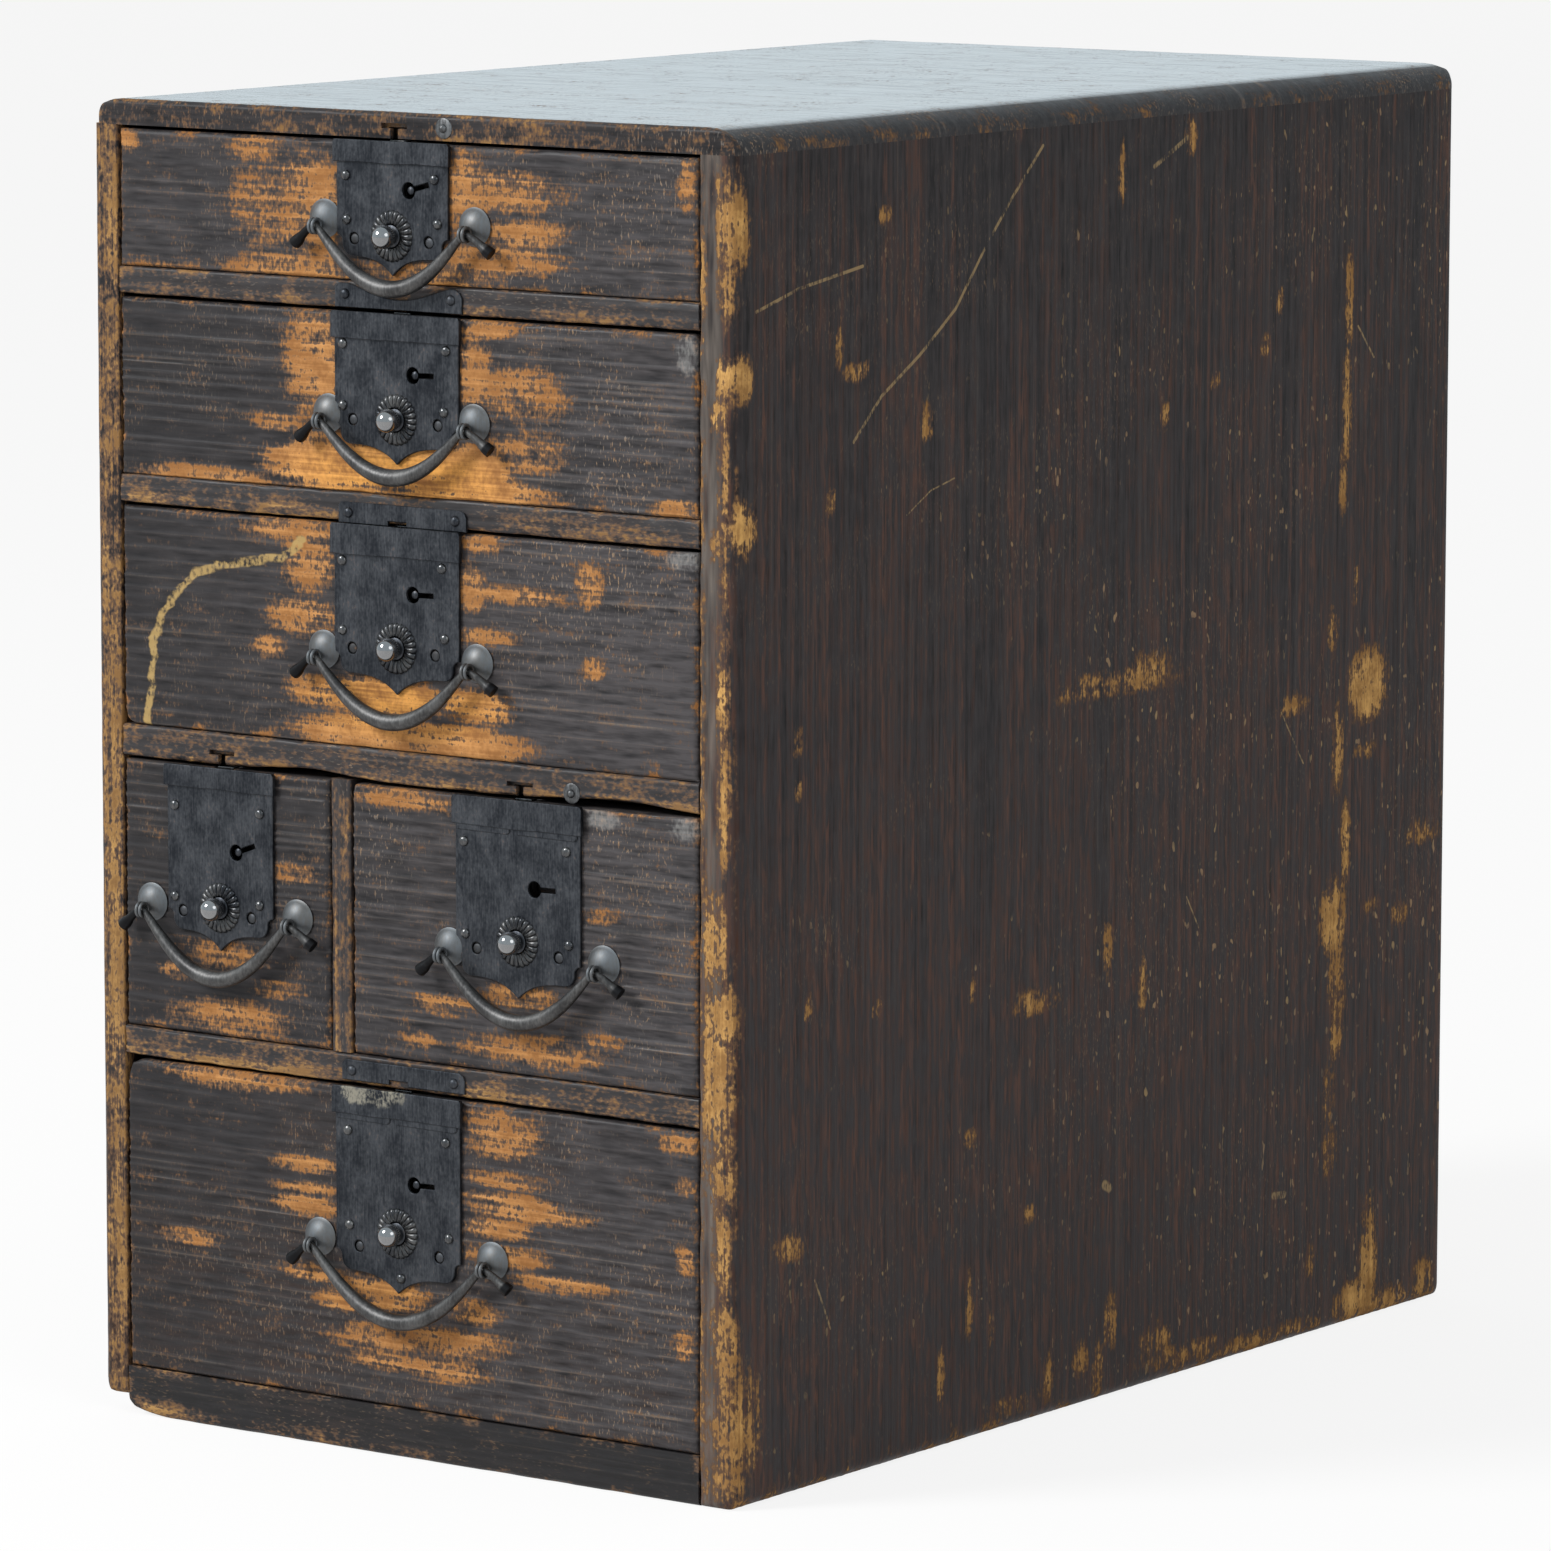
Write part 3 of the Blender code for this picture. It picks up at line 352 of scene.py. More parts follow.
def divided(low, high, wanted, pitch):
    """Places along one axis: the wanted ones, with even steps of at most the pitch between them."""
    marks = np.unique(np.round(np.clip([low, high, *wanted], low, high), 6))
    runs = [
        np.linspace(start, end, max(1, math.ceil((end - start) / pitch)), endpoint=False)
        for start, end in zip(marks, marks[1:])
    ]
    return np.concatenate(runs + [marks[-1:]])


def skin(places, solid):
    """Points and faces round the solid cells of a block that is divided at these places along each axis."""
    padded = np.pad(solid, 1).astype(np.int8)
    faces = []
    for axis in range(3):
        keep = [slice(1, -1)] * 3
        keep[axis] = slice(None)
        change = np.diff(padded, axis=axis)[tuple(keep)]
        step_a, step_b = np.delete(np.eye(3, dtype=int), axis, 0)
        for sign in (1, -1):
            corner = np.argwhere(change == sign)
            ring = [corner, corner + step_a, corner + step_a + step_b, corner + step_b]
            if (sign == -1) != (axis != AXIS_Y):
                ring.reverse()
            faces.append(np.stack(ring, 1))
    shape = [len(along) for along in places]
    flat = np.ravel_multi_index(np.concatenate(faces).reshape(-1, 3).T, shape)
    used, index = np.unique(flat, return_inverse=True)
    lattice = np.unravel_index(used, shape)
    return np.stack([along[at] for along, at in zip(places, lattice)], 1), index.reshape(-1, 4)


def board(low, high, pitch, rounds=(), cuts=(), wanted=((), (), ())):
    """Points and faces of a board: a block divided at a pitch along each axis, with boxes cut out of it and with
    some of its edges rounded. A round is its two axes, its end along each and its run along each."""
    marks = [list(wanted[axis]) for axis in range(3)]
    for cut_low, cut_high in cuts:
        for axis in range(3):
            marks[axis] += [cut_low[axis], cut_high[axis]]
    for axes, ends, runs in rounds:
        for axis, end, run in zip(axes, ends, runs):
            corner = high[axis] if end > 0 else low[axis]
            marks[axis] += [corner - end * run * share for share in ROUND_MARKS]
    places = [divided(low[axis], high[axis], marks[axis], pitch[axis]) for axis in range(3)]
    middles = [(along[1:] + along[:-1]) / 2 for along in places]
    solid = np.ones([len(along) for along in middles], bool)
    for cut_low, cut_high in cuts:
        inside = [(along > cut_low[axis]) & (along < cut_high[axis]) for axis, along in enumerate(middles)]
        solid &= ~np.einsum("i,j,k->ijk", *inside)
    points, faces = skin(places, solid)
    for axes, ends, runs in rounds:
        round_edge(points, low, high, axes, ends, runs)
    return points, faces


def round_edge(points, low, high, axes, ends, runs):
    """Bends the square corner along one edge of a block onto a quarter of an ellipse."""
    shares = []
    for axis, end, run in zip(axes, ends, runs):
        corner = high[axis] if end > 0 else low[axis]
        shares.append(np.clip(1 - (corner - points[:, axis]) * end / run, 0, 1))
    for near, far, axis, end, run in zip(shares, reversed(shares), axes, ends, runs):
        points[:, axis] += end * run * near * (np.sqrt(1 - far * far / 2) - 1)


def around(axis_a, axis_b, run, ends_a=(-1, 1), ends_b=(-1, 1)):
    """Rounds of one size for the edges where the ends along two axes meet."""
    return [((axis_a, axis_b), (end_a, end_b), (run, run)) for end_a in ends_a for end_b in ends_b]


def point_normals(points, faces):
    first, second, third, fourth = (points[faces[:, corner]] for corner in range(4))
    facing = np.cross(third - first, fourth - second)
    sums = np.zeros_like(points)
    for corner in range(4):
        np.add.at(sums, faces[:, corner], facing)
    return sums / np.maximum(np.linalg.norm(sums, axis=1, keepdims=True), 1e-12)


def edge_distance(points, low, high):
    """How far each point of a block's skin lies from the nearest edge of the block."""
    to_ends = np.minimum(points - np.array(low), np.array(high) - points)
    return np.sort(to_ends, axis=1)[:, 1]


def hard_lines(low, high, pitch, seed):
    """Uneven places of the hard grain lines across a board."""
    steps = np.random.default_rng(seed).uniform(0.4, 1.6, int((high - low) / pitch) + 4)
    return low + pitch * (np.cumsum(steps) - 2)


def standing_grain(across, along, lines, seed, steep, gentle):
    """Two values from 0 to 1: the height of the hard lines that stand out of a worn board, steep above and gentle
    below, and painted shade in the dip under each of them."""
    bent = across + 1.4 * MM * (cloud(along / (70 * MM), across / (25 * MM), seed) - 0.5)
    above = np.clip(np.searchsorted(lines, bent), 1, len(lines) - 1)
    up = bell(lines[above] - bent, gentle)
    down = bell(bent - lines[above - 1], steep)
    strength = 0.35 + 0.65 * cloud(along / (55 * MM), above * 7.3, seed + 1)
    hollow = bell(lines[above] - bent - 1.25 * gentle, 0.8 * gentle)
    return np.maximum(up, down) * strength, hollow * strength


def rubbed(across, down, places, grow=(2, 1)):
    """How far the stain is rubbed off, from a list of places in millimetres, some with a strength, each of which
    fades out a little beyond its size."""
    worn = np.zeros(len(across))
    for middle, drop, half_w, half_h, *strength in places:
        reach = np.hypot((across / MM - middle) / (half_w + grow[0]), (down / MM - drop) / (half_h + grow[1]))
        worn = np.maximum(worn, (strength[0] if strength else 1) * (1 - smoothstep(reach, 0.45, 1.45)))
    return worn


def add_mark(made, name, values):
    """Keeps a value at each point of an object's mesh, for its finish."""
    made.data.attributes.new(name, "FLOAT", "POINT").data.foreach_set("value", np.asarray(values, np.float32))


def mesh_points(made):
    return np.array([vertex.co for vertex in made.data.vertices])


def add_mesh(name, points, faces, finishes, marks=(), crease=SOFT_CREASE):
    """An object with this mesh, smooth but for edges sharper than the crease in degrees, and with a mark per point
    for each named value."""
    mesh = bpy.data.meshes.new(name)
    mesh.from_pydata(np.asarray(points).tolist(), [], [list(face) for face in faces])
    for finish in finishes:
        mesh.materials.append(finish)
    mesh.shade_smooth()
    mesh.set_sharp_from_angle(angle=math.radians(crease))
    made = bpy.data.objects.new(name, mesh)
    for key, values in dict(marks).items():
        add_mark(made, key, values)
    bpy.context.scene.collection.objects.link(made)
    return made


def add_piece(name, points, faces, finish, body, slot, stands_for=(), marks=(), crease=SOFT_CREASE):
    """A piece of the chest that rides on a body and may stand in for nodes."""
    made = add_mesh(name, points, faces, [finish], marks, crease)
    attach(made, body)
    if stands_for:
        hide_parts(*stands_for)
    return made


def add_iron(name, mesh, finish, body, node=None, **options):
    """A piece of iron, from its points and faces, that may stand in for a node."""
    return add_piece(name, *mesh, finish, body, "iron", (node,) if node else (), **options)


def add_board(name, shape, box, grain, finish, node, worn=None, body="carcass", slot="case_wood"):
    """A worn board in place of a node: its grain stands out, its edges are uneven, and each point is marked for the
    finish. The box gives the edges that wear. The grain is its axis, the axis across it, its pitch, its height and a
    seed. What worn returns is added to the wear."""
    low, high = box
    along_axis, across_axis, pitch, height, seed = grain
    points, faces = shape
    normals = point_normals(points, faces)
    across, along = points[:, across_axis], points[:, along_axis]
    lines = hard_lines(low[across_axis], high[across_axis], pitch, seed)
    ridge, hollow = standing_grain(across, along, lines, seed, steep=min(0.45 * MM, pitch / 7), gentle=pitch / 4.2)
    edge = edge_distance(points, low, high)
    spread = cloud(points.sum(1) / (9 * MM), (points[:, AXIS_X] - points[:, AXIS_Z]) / (9 * MM), seed + 5)
    chipped = bell(edge, 1.3 * MM) * smoothstep(spread, 0.35, 0.95)
    wear = 0.55 * bell(edge, 1.6 * MM) * smoothstep(spread, 0.2, 0.8)
    if worn:
        wear = np.maximum(wear, worn(points, spread))
    points = points + normals * (height * ridge - 0.45 * MM * chipped)[:, None]
    # The ridge shade mark is painted shade in the dip under each standing grain line; the finish darkens the stain
    # there.
    marks = {"wear": wear, "ridge": ridge, "hollow": hollow, "level": normals[:, AXIS_Z]}
    return add_piece(name, points, faces, finish, body, slot, (node,), marks)


# Iron


def circle(middle, radius, steps=20, clockwise=False):
    turn = np.linspace(0, 2 * math.pi, steps, endpoint=False)
    ring = np.stack([middle[0] + radius * np.cos(turn), middle[1] + radius * np.sin(turn)], 1)
    return ring[::-1] if clockwise else ring


def inset(loop, distance):
    """A closed outline moved to the left of its own direction."""
    before = loop - np.roll(loop, 1, 0)
    after = np.roll(loop, -1, 0) - loop
    lefts = []
    for step in (before, after):
        step = step / np.maximum(np.linalg.norm(step, axis=1, keepdims=True), 1e-12)
        lefts.append(np.stack([-step[:, 1], step[:, 0]], 1))
    mean = lefts[0] + lefts[1]
    mean /= np.maximum(np.linalg.norm(mean, axis=1, keepdims=True), 1e-12)
    lean = np.maximum((mean * lefts[0]).sum(1, keepdims=True), 0.5)
    return loop + distance * mean / lean


def sheet_iron(loops, front, back, ease=0.25 * MM):
    """Points and faces of sheet iron seen from the front: an anticlockwise outline, then clockwise holes."""
    points, faces, rims = [], [], []
    for loop in loops:
        count, start = len(loop), len(points)
        for ring, y in ((inset(loop, ease), front), (loop, front + ease), (loop, back)):
            points += [(x, y, z) for x, z in ring]
        for first in range(start, start + 2 * count):
            second = first + 1 if (first - start + 1) % count else first + 1 - count
            faces.append((first, first + count, second + count, second))
        rims.append(range(start, start + count))
    flat = [[Vector((points[k][0], points[k][2])) for k in rim] for rim in rims]
    order = [k for rim in rims for k in rim]
    drop = [2 * len(rim) for rim in rims for _ in rim]
    for face in tessellate_polygon([[p.to_3d() for p in ring] for ring in flat]):
        corners = [Vector((points[order[k]][0], points[order[k]][2])) for k in face]
        turn = (corners[1] - corners[0]).cross(corners[2] - corners[0])
        face = face if turn > 0 else face[::-1]
        faces.append(tuple(order[k] for k in face))
        faces.append(tuple(order[k] + drop[k] for k in reversed(face)))
    return points, faces


def turned(profile, middle, steps=24):
    """A closed form turned about an axis along Y: pairs of radius and reach towards the front, from its tip back."""
    x, y, z = middle
    points, faces, rings = [], [], []
    for radius, reach in profile:
        if radius < 1e-7:
            rings.append([len(points)] * steps)
            points.append((x, y - reach, z))
        else:
            rings.append(range(len(points), len(points) + steps))
            points += [(px, y - reach, pz) for px, pz in circle((x, z), radius, steps)]
    for front, back in zip(rings, rings[1:]):
        for k in range(steps):
            after = (k + 1) % steps
            face = [front[k], back[k], back[after], front[after]]
            faces.append(tuple(dict.fromkeys(face)))
    return points, faces


def tube(path, radii, sides=14, closed=False):
    """A round bar along a path, with flat ends unless the path is closed."""
    path = np.asarray(path, float)
    if closed:
        tangents = np.roll(path, -1, 0) - np.roll(path, 1, 0)
    else:
        tangents = np.gradient(path, axis=0)
    tangents /= np.linalg.norm(tangents, axis=1, keepdims=True)
    side = np.cross(tangents[0], (0.31, 0.77, 0.55))
    turns = np.linspace(0, 2 * math.pi, sides, endpoint=False)
    points = []
    for point, tangent, radius in zip(path, tangents, radii):
        side = side - tangent * (side @ tangent)
        side /= np.linalg.norm(side)
        other = np.cross(tangent, side)
        points += [point + radius * (math.cos(turn) * side + math.sin(turn) * other) for turn in turns]
    faces = []
    rings = len(path)
    for ring in range(rings if closed else rings - 1):
        after = (ring + 1) % rings
        for k in range(sides):
            nxt = (k + 1) % sides
            faces.append((ring * sides + k, ring * sides + nxt, after * sides + nxt, after * sides + k))
    if not closed:
        faces.append(tuple(reversed(range(sides))))
        faces.append(tuple(range((rings - 1) * sides, rings * sides)))
    return points, faces


def gathered(parts):
    """Several closed forms as one mesh."""
    points, faces = [], []
    for part_points, part_faces in parts:
        start = len(points)
        points += [tuple(point) for point in part_points]
        faces += [tuple(start + k for k in face) for face in part_faces]
    return points, faces


class Lock:
    """Where one drawer's lock and handle lie."""

    def __init__(self, number):
        self.name = f"drawer_{number}"
        self.body = self.name
        knob_low, knob_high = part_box(f"{self.name}_lock_button")
        plate_low, plate_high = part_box(f"{self.name}_lock_plate")
        self.x = (knob_low.x + knob_high.x) / 2
        self.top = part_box(f"{self.name}_front")[1].z
        self.point = plate_low.z
        self.half = (plate_high.x - plate_low.x) / 2 - BAND_LIP
        self.band = BAND_HEIGHTS[number - 1]
        self.knob_z = (knob_low.z + knob_high.z) / 2
        self.stem_end = knob_high.y
        self.key = (self.x + KEY_SIDE, self.top - KEY_DROPS[number - 1])
        self.key_tilt = math.radians(KEY_TILTS[number - 1])
        self.skin = FACE - FIT - PLATE_T
        self.posts = []
        for hand in HANDS:
            low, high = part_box(f"{self.name}_post_{hand}")
            self.posts.append(((low.x + high.x) / 2, (low.z + high.z) / 2))
        self.pivot = PIVOTS[f"bail_{number}"]
        self.bow = self.pivot.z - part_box(f"{self.name}_bail")[0].z


LOCKS = {number: Lock(number) for number in DRAWERS}


# Finishes


class Wire:
    """One output of a node tree; Python's operators on it add the nodes that they stand for."""

    def __init__(self, tree, socket=None):
        self.tree = tree
        self.socket = socket

    def node(self, kind, settings=(), sockets=(), output=0):
        """One output of a new node with these settings, and with values or links in its sockets."""
        made = self.tree.nodes.new(kind)
        for key, value in dict(settings).items():
            setattr(made, key, value)
        for key, value in dict(sockets).items():
            if isinstance(value, Wire):
                self.tree.links.new(value.socket, made.inputs[key])
            else:
                made.inputs[key].default_value = value
        return Wire(self.tree, made.outputs[output])

    def maths(self, operation, *values):
        return self.node("ShaderNodeMath", {"operation": operation}, enumerate(values))

    def __add__(self, other):
        return self.maths("ADD", self, other)

    __radd__ = __add__

    def __sub__(self, other):
        return self.maths("SUBTRACT", self, other)

    def __rsub__(self, other):
        return self.maths("SUBTRACT", other, self)

    def __mul__(self, other):
        return self.maths("MULTIPLY", self, other)

    __rmul__ = __mul__

    def __truediv__(self, other):
        return self.maths("DIVIDE", self, other)

    def __pow__(self, other):
        return self.maths("POWER", self, other)

    def most(self, other):
        return self.maths("MAXIMUM", self, other)

    def clamped(self):
        return self.node("ShaderNodeClamp", (), {"Value": self})

    def between(self, low, high):
        """0 below the low value, 1 above the high one, and smooth between them."""
        sockets = {"Value": self, "From Min": low, "From Max": high}
        return self.node("ShaderNodeMapRange", {"interpolation_type": "SMOOTHSTEP"}, sockets)

    def colours(self, first, second):
        """A colour that goes from the first to the second as this value goes from 0 to 1."""
        ends = [end if isinstance(end, Wire) else (*end[:3], 1) for end in (first, second)]
        settings = {"data_type": "RGBA", "clamp_factor": True}
        return self.node("ShaderNodeMix", settings, {0: self, 6: ends[0], 7: ends[1]}, 2)

    def mark(self, name):
        """A value kept at each point of the mesh."""
        return self.node("ShaderNodeAttribute", {"attribute_name": name}, (), "Fac")

    def place(self):
        return self.node("ShaderNodeTexCoord", (), (), "Object")

    def axes(self):
        """The place along X, Y and Z, in metres."""
        place = self.place()
        return [self.node("ShaderNodeSeparateXYZ", (), {0: place}, axis) for axis in "XYZ"]

    def clouds(self, sizes, detail=2.0, start=0.0):
        """Noise whose grains have these sizes in metres along X, Y and Z."""
        scale = [1 / size for size in sizes]
        moved = self.node("ShaderNodeMapping", (), {
            "Vector": self.place(), "Location": (start, start * 1.7, start * 2.3), "Scale": scale,
        })
        return self.node("ShaderNodeTexNoise", (), {"Vector": moved, "Scale": 1.0, "Detail": detail}, "Fac")

    def strands(self, axis, long, short, detail=2.0, start=0.0):
        """Noise whose grains are long along one axis, with both sizes in millimetres."""
        sizes = [short * MM] * 3
        sizes[axis] = long * MM
        return self.clouds(sizes, detail, start)


def begin_finish(name):
    made = bpy.data.materials.new(name)
    made.use_nodes = True
    return made, Wire(made.node_tree)


def end_finish(made, constants, linked, bump=None):
    """Sets the shader's plain values, links what changes over the surface and adds a bump."""
    shader = made.node_tree.nodes["Principled BSDF"]
    for key, value in constants.items():
        shader.inputs[key].default_value = value
    if bump:
        height, strength, distance = bump
        sockets = {"Height": height, "Strength": strength, "Distance": distance}
        linked = {**linked, "Normal": height.node("ShaderNodeBump", (), sockets)}
    for key, wire in linked.items():
        made.node_tree.links.new(wire.socket, shader.inputs[key])
    return made


def distance_to_run(u, v, start, end):
    """Distance in the u, v plane from a straight run."""
    run_u, run_v = end[0] - start[0], end[1] - start[1]
    length = run_u * run_u + run_v * run_v
    share = (((u - start[0]) * run_u + (v - start[1]) * run_v) / length).clamped()
    off_u = u - start[0] - share * run_u
    off_v = v - start[1] - share * run_v
    return (off_u * off_u + off_v * off_v) ** 0.5


def scored(u, v, runs, width):
    """1 along a line of straight runs, falling to 0 at half the width beside it."""
    marks = [1 - distance_to_run(u, v, *ends).between(width * 0.32, width * 0.6) for ends in zip(runs, runs[1:])]
    found = marks[0]
    for mark in marks[1:]:
        found = found.most(mark)
    return found


def stained_wood(
    name, look, grain_axis, timber=None, *, warmth=0.5, flecked=1.0, calm=0.25, shine=0.34, sunk=0.0, hazed=0.3,
    hazed_right=None, risen=0.0, banded=0.0, ticked=0.0, fibrous=0.8, stroke_axis=AXIS_Z, scratches=(), drip=(),
    coat=0.0, warm=None, dulled=None,
):
    """Dark stain that is worn through to the timber's two colours where the mesh is marked, with flecks and lines;
    the pale lines along the grain's crests are painted highlights.

    A calm stain has fewer bare specks. A sunk one is warmer towards the ground. A hazed one is dulled, to the right
    or, if it has risen, towards the top by another measure. A banded one goes from warm to cold across the grain, a
    ticked one has pale knocks, and a fibrous one is torn along the grain. Its fine strokes lie along one axis.
    Scratches are runs across Y and Z with a width; the drip is a run across X and Z. A coat is a polish on level
    wood. Warm and dulled are other colours for the warm and the hazed stain."""
    made, root = begin_finish(name)
    wear = root.mark("wear")
    ridge = root.mark("ridge")
    x, y, z = root.axes()
    fibre = root.strands(grain_axis, 45, 0.9, 3.0)
    streak = root.strands(grain_axis, 24, 2.6, 2.0, 1.3)
    flecks = root.strands(stroke_axis, 2.0, 1.4, 3.0, 3.1)
    strokes = root.strands(stroke_axis, 2.4, 0.75, 2.0, 5.7)
    blotch = root.clouds((11 * MM, 11 * MM, 7 * MM), 3.0, 7.9)
    broad = root.clouds((70 * MM, 90 * MM, 60 * MM), 2.0, 9.3)
    mottle = root.strands(grain_axis, 11, 1.5, 2.0, 19.3) - 0.5
    torn = (flecks - 0.5) * 2.8 + (strokes - 0.5) * 1.3 + (blotch - 0.5) * 2.2 + (streak - 0.5) * 1.2
    torn = torn + (fibre - 0.5) * fibrous
    worn = wear * (0.84 + ridge * 0.95) - 0.30 + torn * (1 - calm + (wear * 2.5).clamped() * calm)
    bare = worn.between(0.22, 0.86)
    thin = (worn + (wear * 2).clamped() * 0.25).between(-0.12, 0.50)
    tone = broad * 0.9 + blotch * 0.5 + warmth - 0.95 + (0.25 - z) * sunk
    if banded:
        tone = tone + (root.strands(grain_axis, 420, 13, 3.0, 13.1) - 0.5) * banded
        tone = tone + (root.strands(grain_axis, 210, 2.4, 2.0, 14.7) - 0.5) * banded
    tone = tone.between(0.1, 0.8)
    stain = tone.colours(look.stain, warm or look.warm_stain)
    # Dark stain in the soft grain, with painted shade in the dip under each standing grain line.
    dark = (fibre * 0.7 + streak * 0.5 + mottle * 1.1).between(0.48, 0.78).most(root.mark("hollow") * (0.45 + streak))
    stain = dark.colours(stain, look.black_stain_and_shade)
    haze = (z - 0.2) * risen + hazed
    if hazed_right is not None:
        share = ((x - LEFT) / (RIGHT - LEFT)).clamped()
        haze = share * (hazed_right - hazed) + hazed
        flecked = share * 0.8 * flecked + 0.5 * flecked
    stain = (haze * (0.30 + blotch + ridge * 0.6 + mottle * 2.6)).colours(stain, dulled or look.haze)
    stain = (root.mark("dull") * (streak * 1.6 - 0.40)).colours(stain, look.flecks)
    # Pale lines along the crests of the standing grain are painted highlights, in the fleck colours.
    lines = ridge.between(0.45, 0.9) * (streak + strokes * 0.5).between(0.55, 0.95) * 0.5
    specks = strokes.between(0.57, 0.69) * (broad * 1.2 + blotch * 0.8).between(0.85, 1.25)
    fleck_and_highlight = (blotch + flecks * 0.5).between(0.62, 0.85).colours(look.flecks, look.warm_flecks)
    colour = (lines.most(specks) * flecked).colours(stain, fleck_and_highlight)
    if ticked:
        knocks = root.clouds((1.3 * MM, 1.3 * MM, 5.0 * MM), 1.0, 11.3).between(0.71, 0.78)
        knocks = knocks.most(root.clouds((3.0 * MM, 3.0 * MM, 5.2 * MM), 1.0, 12.7).between(0.70, 0.75))
        crowded = (broad * 1.5 + blotch + y * 0.9 - (z - 0.2) * 0.5).between(1.05, 1.55)
        knock = streak.between(0.42, 0.58).colours(look.warm_flecks, look.scratch)
        colour = (knocks * crowded * ticked).colours(colour, knock)
    colour = (thin * 0.9).colours(colour, look.brown)
    fresh, deep = timber or (look.bare, look.deep_bare)
    aged = (fibre * 0.6 + blotch * 0.9 + flecks * 0.5).between(0.75, 1.25)
    timber_colour = aged.colours(root.mark("pulled").colours(fresh, look.polished), deep)
    colour = bare.colours(colour, timber_colour)
    if scratches:
        broken = (strokes * 0.8 + blotch).between(0.70, 1.0) * 0.85
        for runs, width in scratches:
            line = scored(y, z, [(u * MM, v * MM) for u, v in runs], width * MM)
            colour = (line * broken).colours(colour, look.scratch)
    # Pale bruises on the corners, partly painted glints of light.
    bruise = root.mark("bruise")
    bruised_and_glinting = (bruise * 0.8 + torn * 0.6).between(0.20, 1.20) * bruise.between(0.05, 0.6)
    colour = (bruised_and_glinting * 0.42).colours(colour, look.bruise)
    if drip:
        run = scored(x + (blotch - 0.5) * 6 * MM, z + (streak - 0.5) * 4 * MM, drip, DRIP_W)
        colour = (run * (flecks + blotch).between(0.70, 1.05) * 0.9).colours(colour, look.drip)
    linked = {
        "Base Color": colour,
        "Roughness": 0.46 + thin * 0.25 + (fibre - 0.5) * 0.3 + (blotch - 0.5) * 0.3,
    }
    constants = {"Specular IOR Level": shine}
    if coat:
        constants.update({"Coat Roughness": 0.16, "Coat IOR": 1.78})
        swept = root.strands(grain_axis, 170, 2.6, 3.0, 17.1)
        polish = (fibre * 0.3 + streak * 0.35 + swept * 0.5).between(0.30, 0.62) * 0.36 + 0.64
        linked["Coat Weight"] = polish * (1 - thin) * root.mark("level").between(0.955, 0.998) * coat
    return end_finish(made, constants, linked, (fibre * 0.6 + strokes * 0.4 - bare * 0.3, 0.4, 0.25 * MM))


def bare_wood(name, look, grain_axis, shade=1.0):
    """Unfinished wood that has darkened with age, with open pores and grime along the grain."""
    made, root = begin_finish(name)
    fibre = root.strands(grain_axis, 60, 1.2, 3.0)
    rings = root.strands(grain_axis, 300, 7, 2.0, 2.2)
    pores = root.strands(grain_axis, 13, 0.55, 1.0, 6.6)
    grime = root.strands(grain_axis, 130, 30, 3.0, 4.4)
    pale, deep = ([shade * c for c in colour] for colour in (look.inner, look.deep_inner))
    colour = (fibre * 0.8 + rings * 0.9).between(0.66, 1.02).colours(pale, deep)
    colour = (pores.between(0.56, 0.70) * 0.75).colours(colour, [0.45 * c for c in deep])
    colour = (grime.between(0.50, 0.82) * 0.8).colours(colour, [0.30 * c for c in pale])
    linked = {"Base Color": colour, "Roughness": 0.66 + (fibre - 0.5) * 0.3}
    bump = (fibre * 0.6 + rings * 0.4 - pores * 0.3, 0.4, 0.2 * MM)
    return end_finish(made, {"Specular IOR Level": 0.3}, linked, bump)


def old_iron(name, dark, light, roughness, *, metallic=0.85, rust=0.0, look=None, coat=0.0, gleam=1.5, dust=(),
             sooty=False):
    """Blackened iron: rubbed lighter in clouds, with fine hammer marks, a little rust, dust along a run across X
    and Z, and black where the mesh is marked: black tips, and painted shade along the handles' left stubs."""
    made, root = begin_finish(name)
    clouds = root.clouds((9 * MM, 9 * MM, 12 * MM), 4.0)
    fine = root.clouds((0.9 * MM, 0.9 * MM, 1.4 * MM), 2.0, 1.9)
    dents = root.clouds((3.2 * MM, 3.2 * MM, 3.6 * MM), 1.0, 6.1)
    rubs = root.clouds((0.6 * MM, 0.6 * MM, 7 * MM), 2.0, 4.3)
    colour = (clouds * 0.6 + fine * 0.35 + rubs * 0.35).between(0.47, 0.86).colours(dark, light)
    linked = {"Roughness": roughness + (clouds - 0.5) * 0.3 + (fine - 0.5) * 0.15}
    if rust:
        spots = (fine * 0.7 + clouds * 0.5).between(0.72, 0.84) * rust
        colour = spots.colours(colour, look.rust)
        linked["Metallic"] = metallic * (1 - spots)
    if dust:
        x, _, z = root.axes()
        settled = scored(x + (fine - 0.5) * 8 * MM, z + (clouds - 0.5) * 9 * MM, dust, DUST_W)
        settled = settled * (clouds * 0.9 + fine * 0.9).between(0.72, 1.08) * 0.8
        colour = settled.colours(colour, look.dust)
        linked["Metallic"] = metallic * (1 - settled)
    # Black where marked: the handles' blackened tips, and painted shade along their left stubs.
    if sooty:
        colour = root.mark("soot").between(0.2, 0.8).colours(colour, look.soot)
    linked["Base Color"] = colour
    constants = {"Metallic": metallic, "Coat Weight": coat, "Coat Roughness": 0.05, "Coat IOR": gleam}
    return end_finish(made, constants, linked, (dents * 0.7 + fine * 0.2, 0.22, 0.3 * MM))


def kept(name, make, *values, **options):
    """A finish by name, made when it is first asked for."""
    return bpy.data.materials.get(name) or make(name, *values, **options)


def case_timber(look, paler=1.0):
    """The two colours of bare carcass wood."""
    return [[paler * part for part in colour] for colour in (look.ochre, look.deep_ochre)]


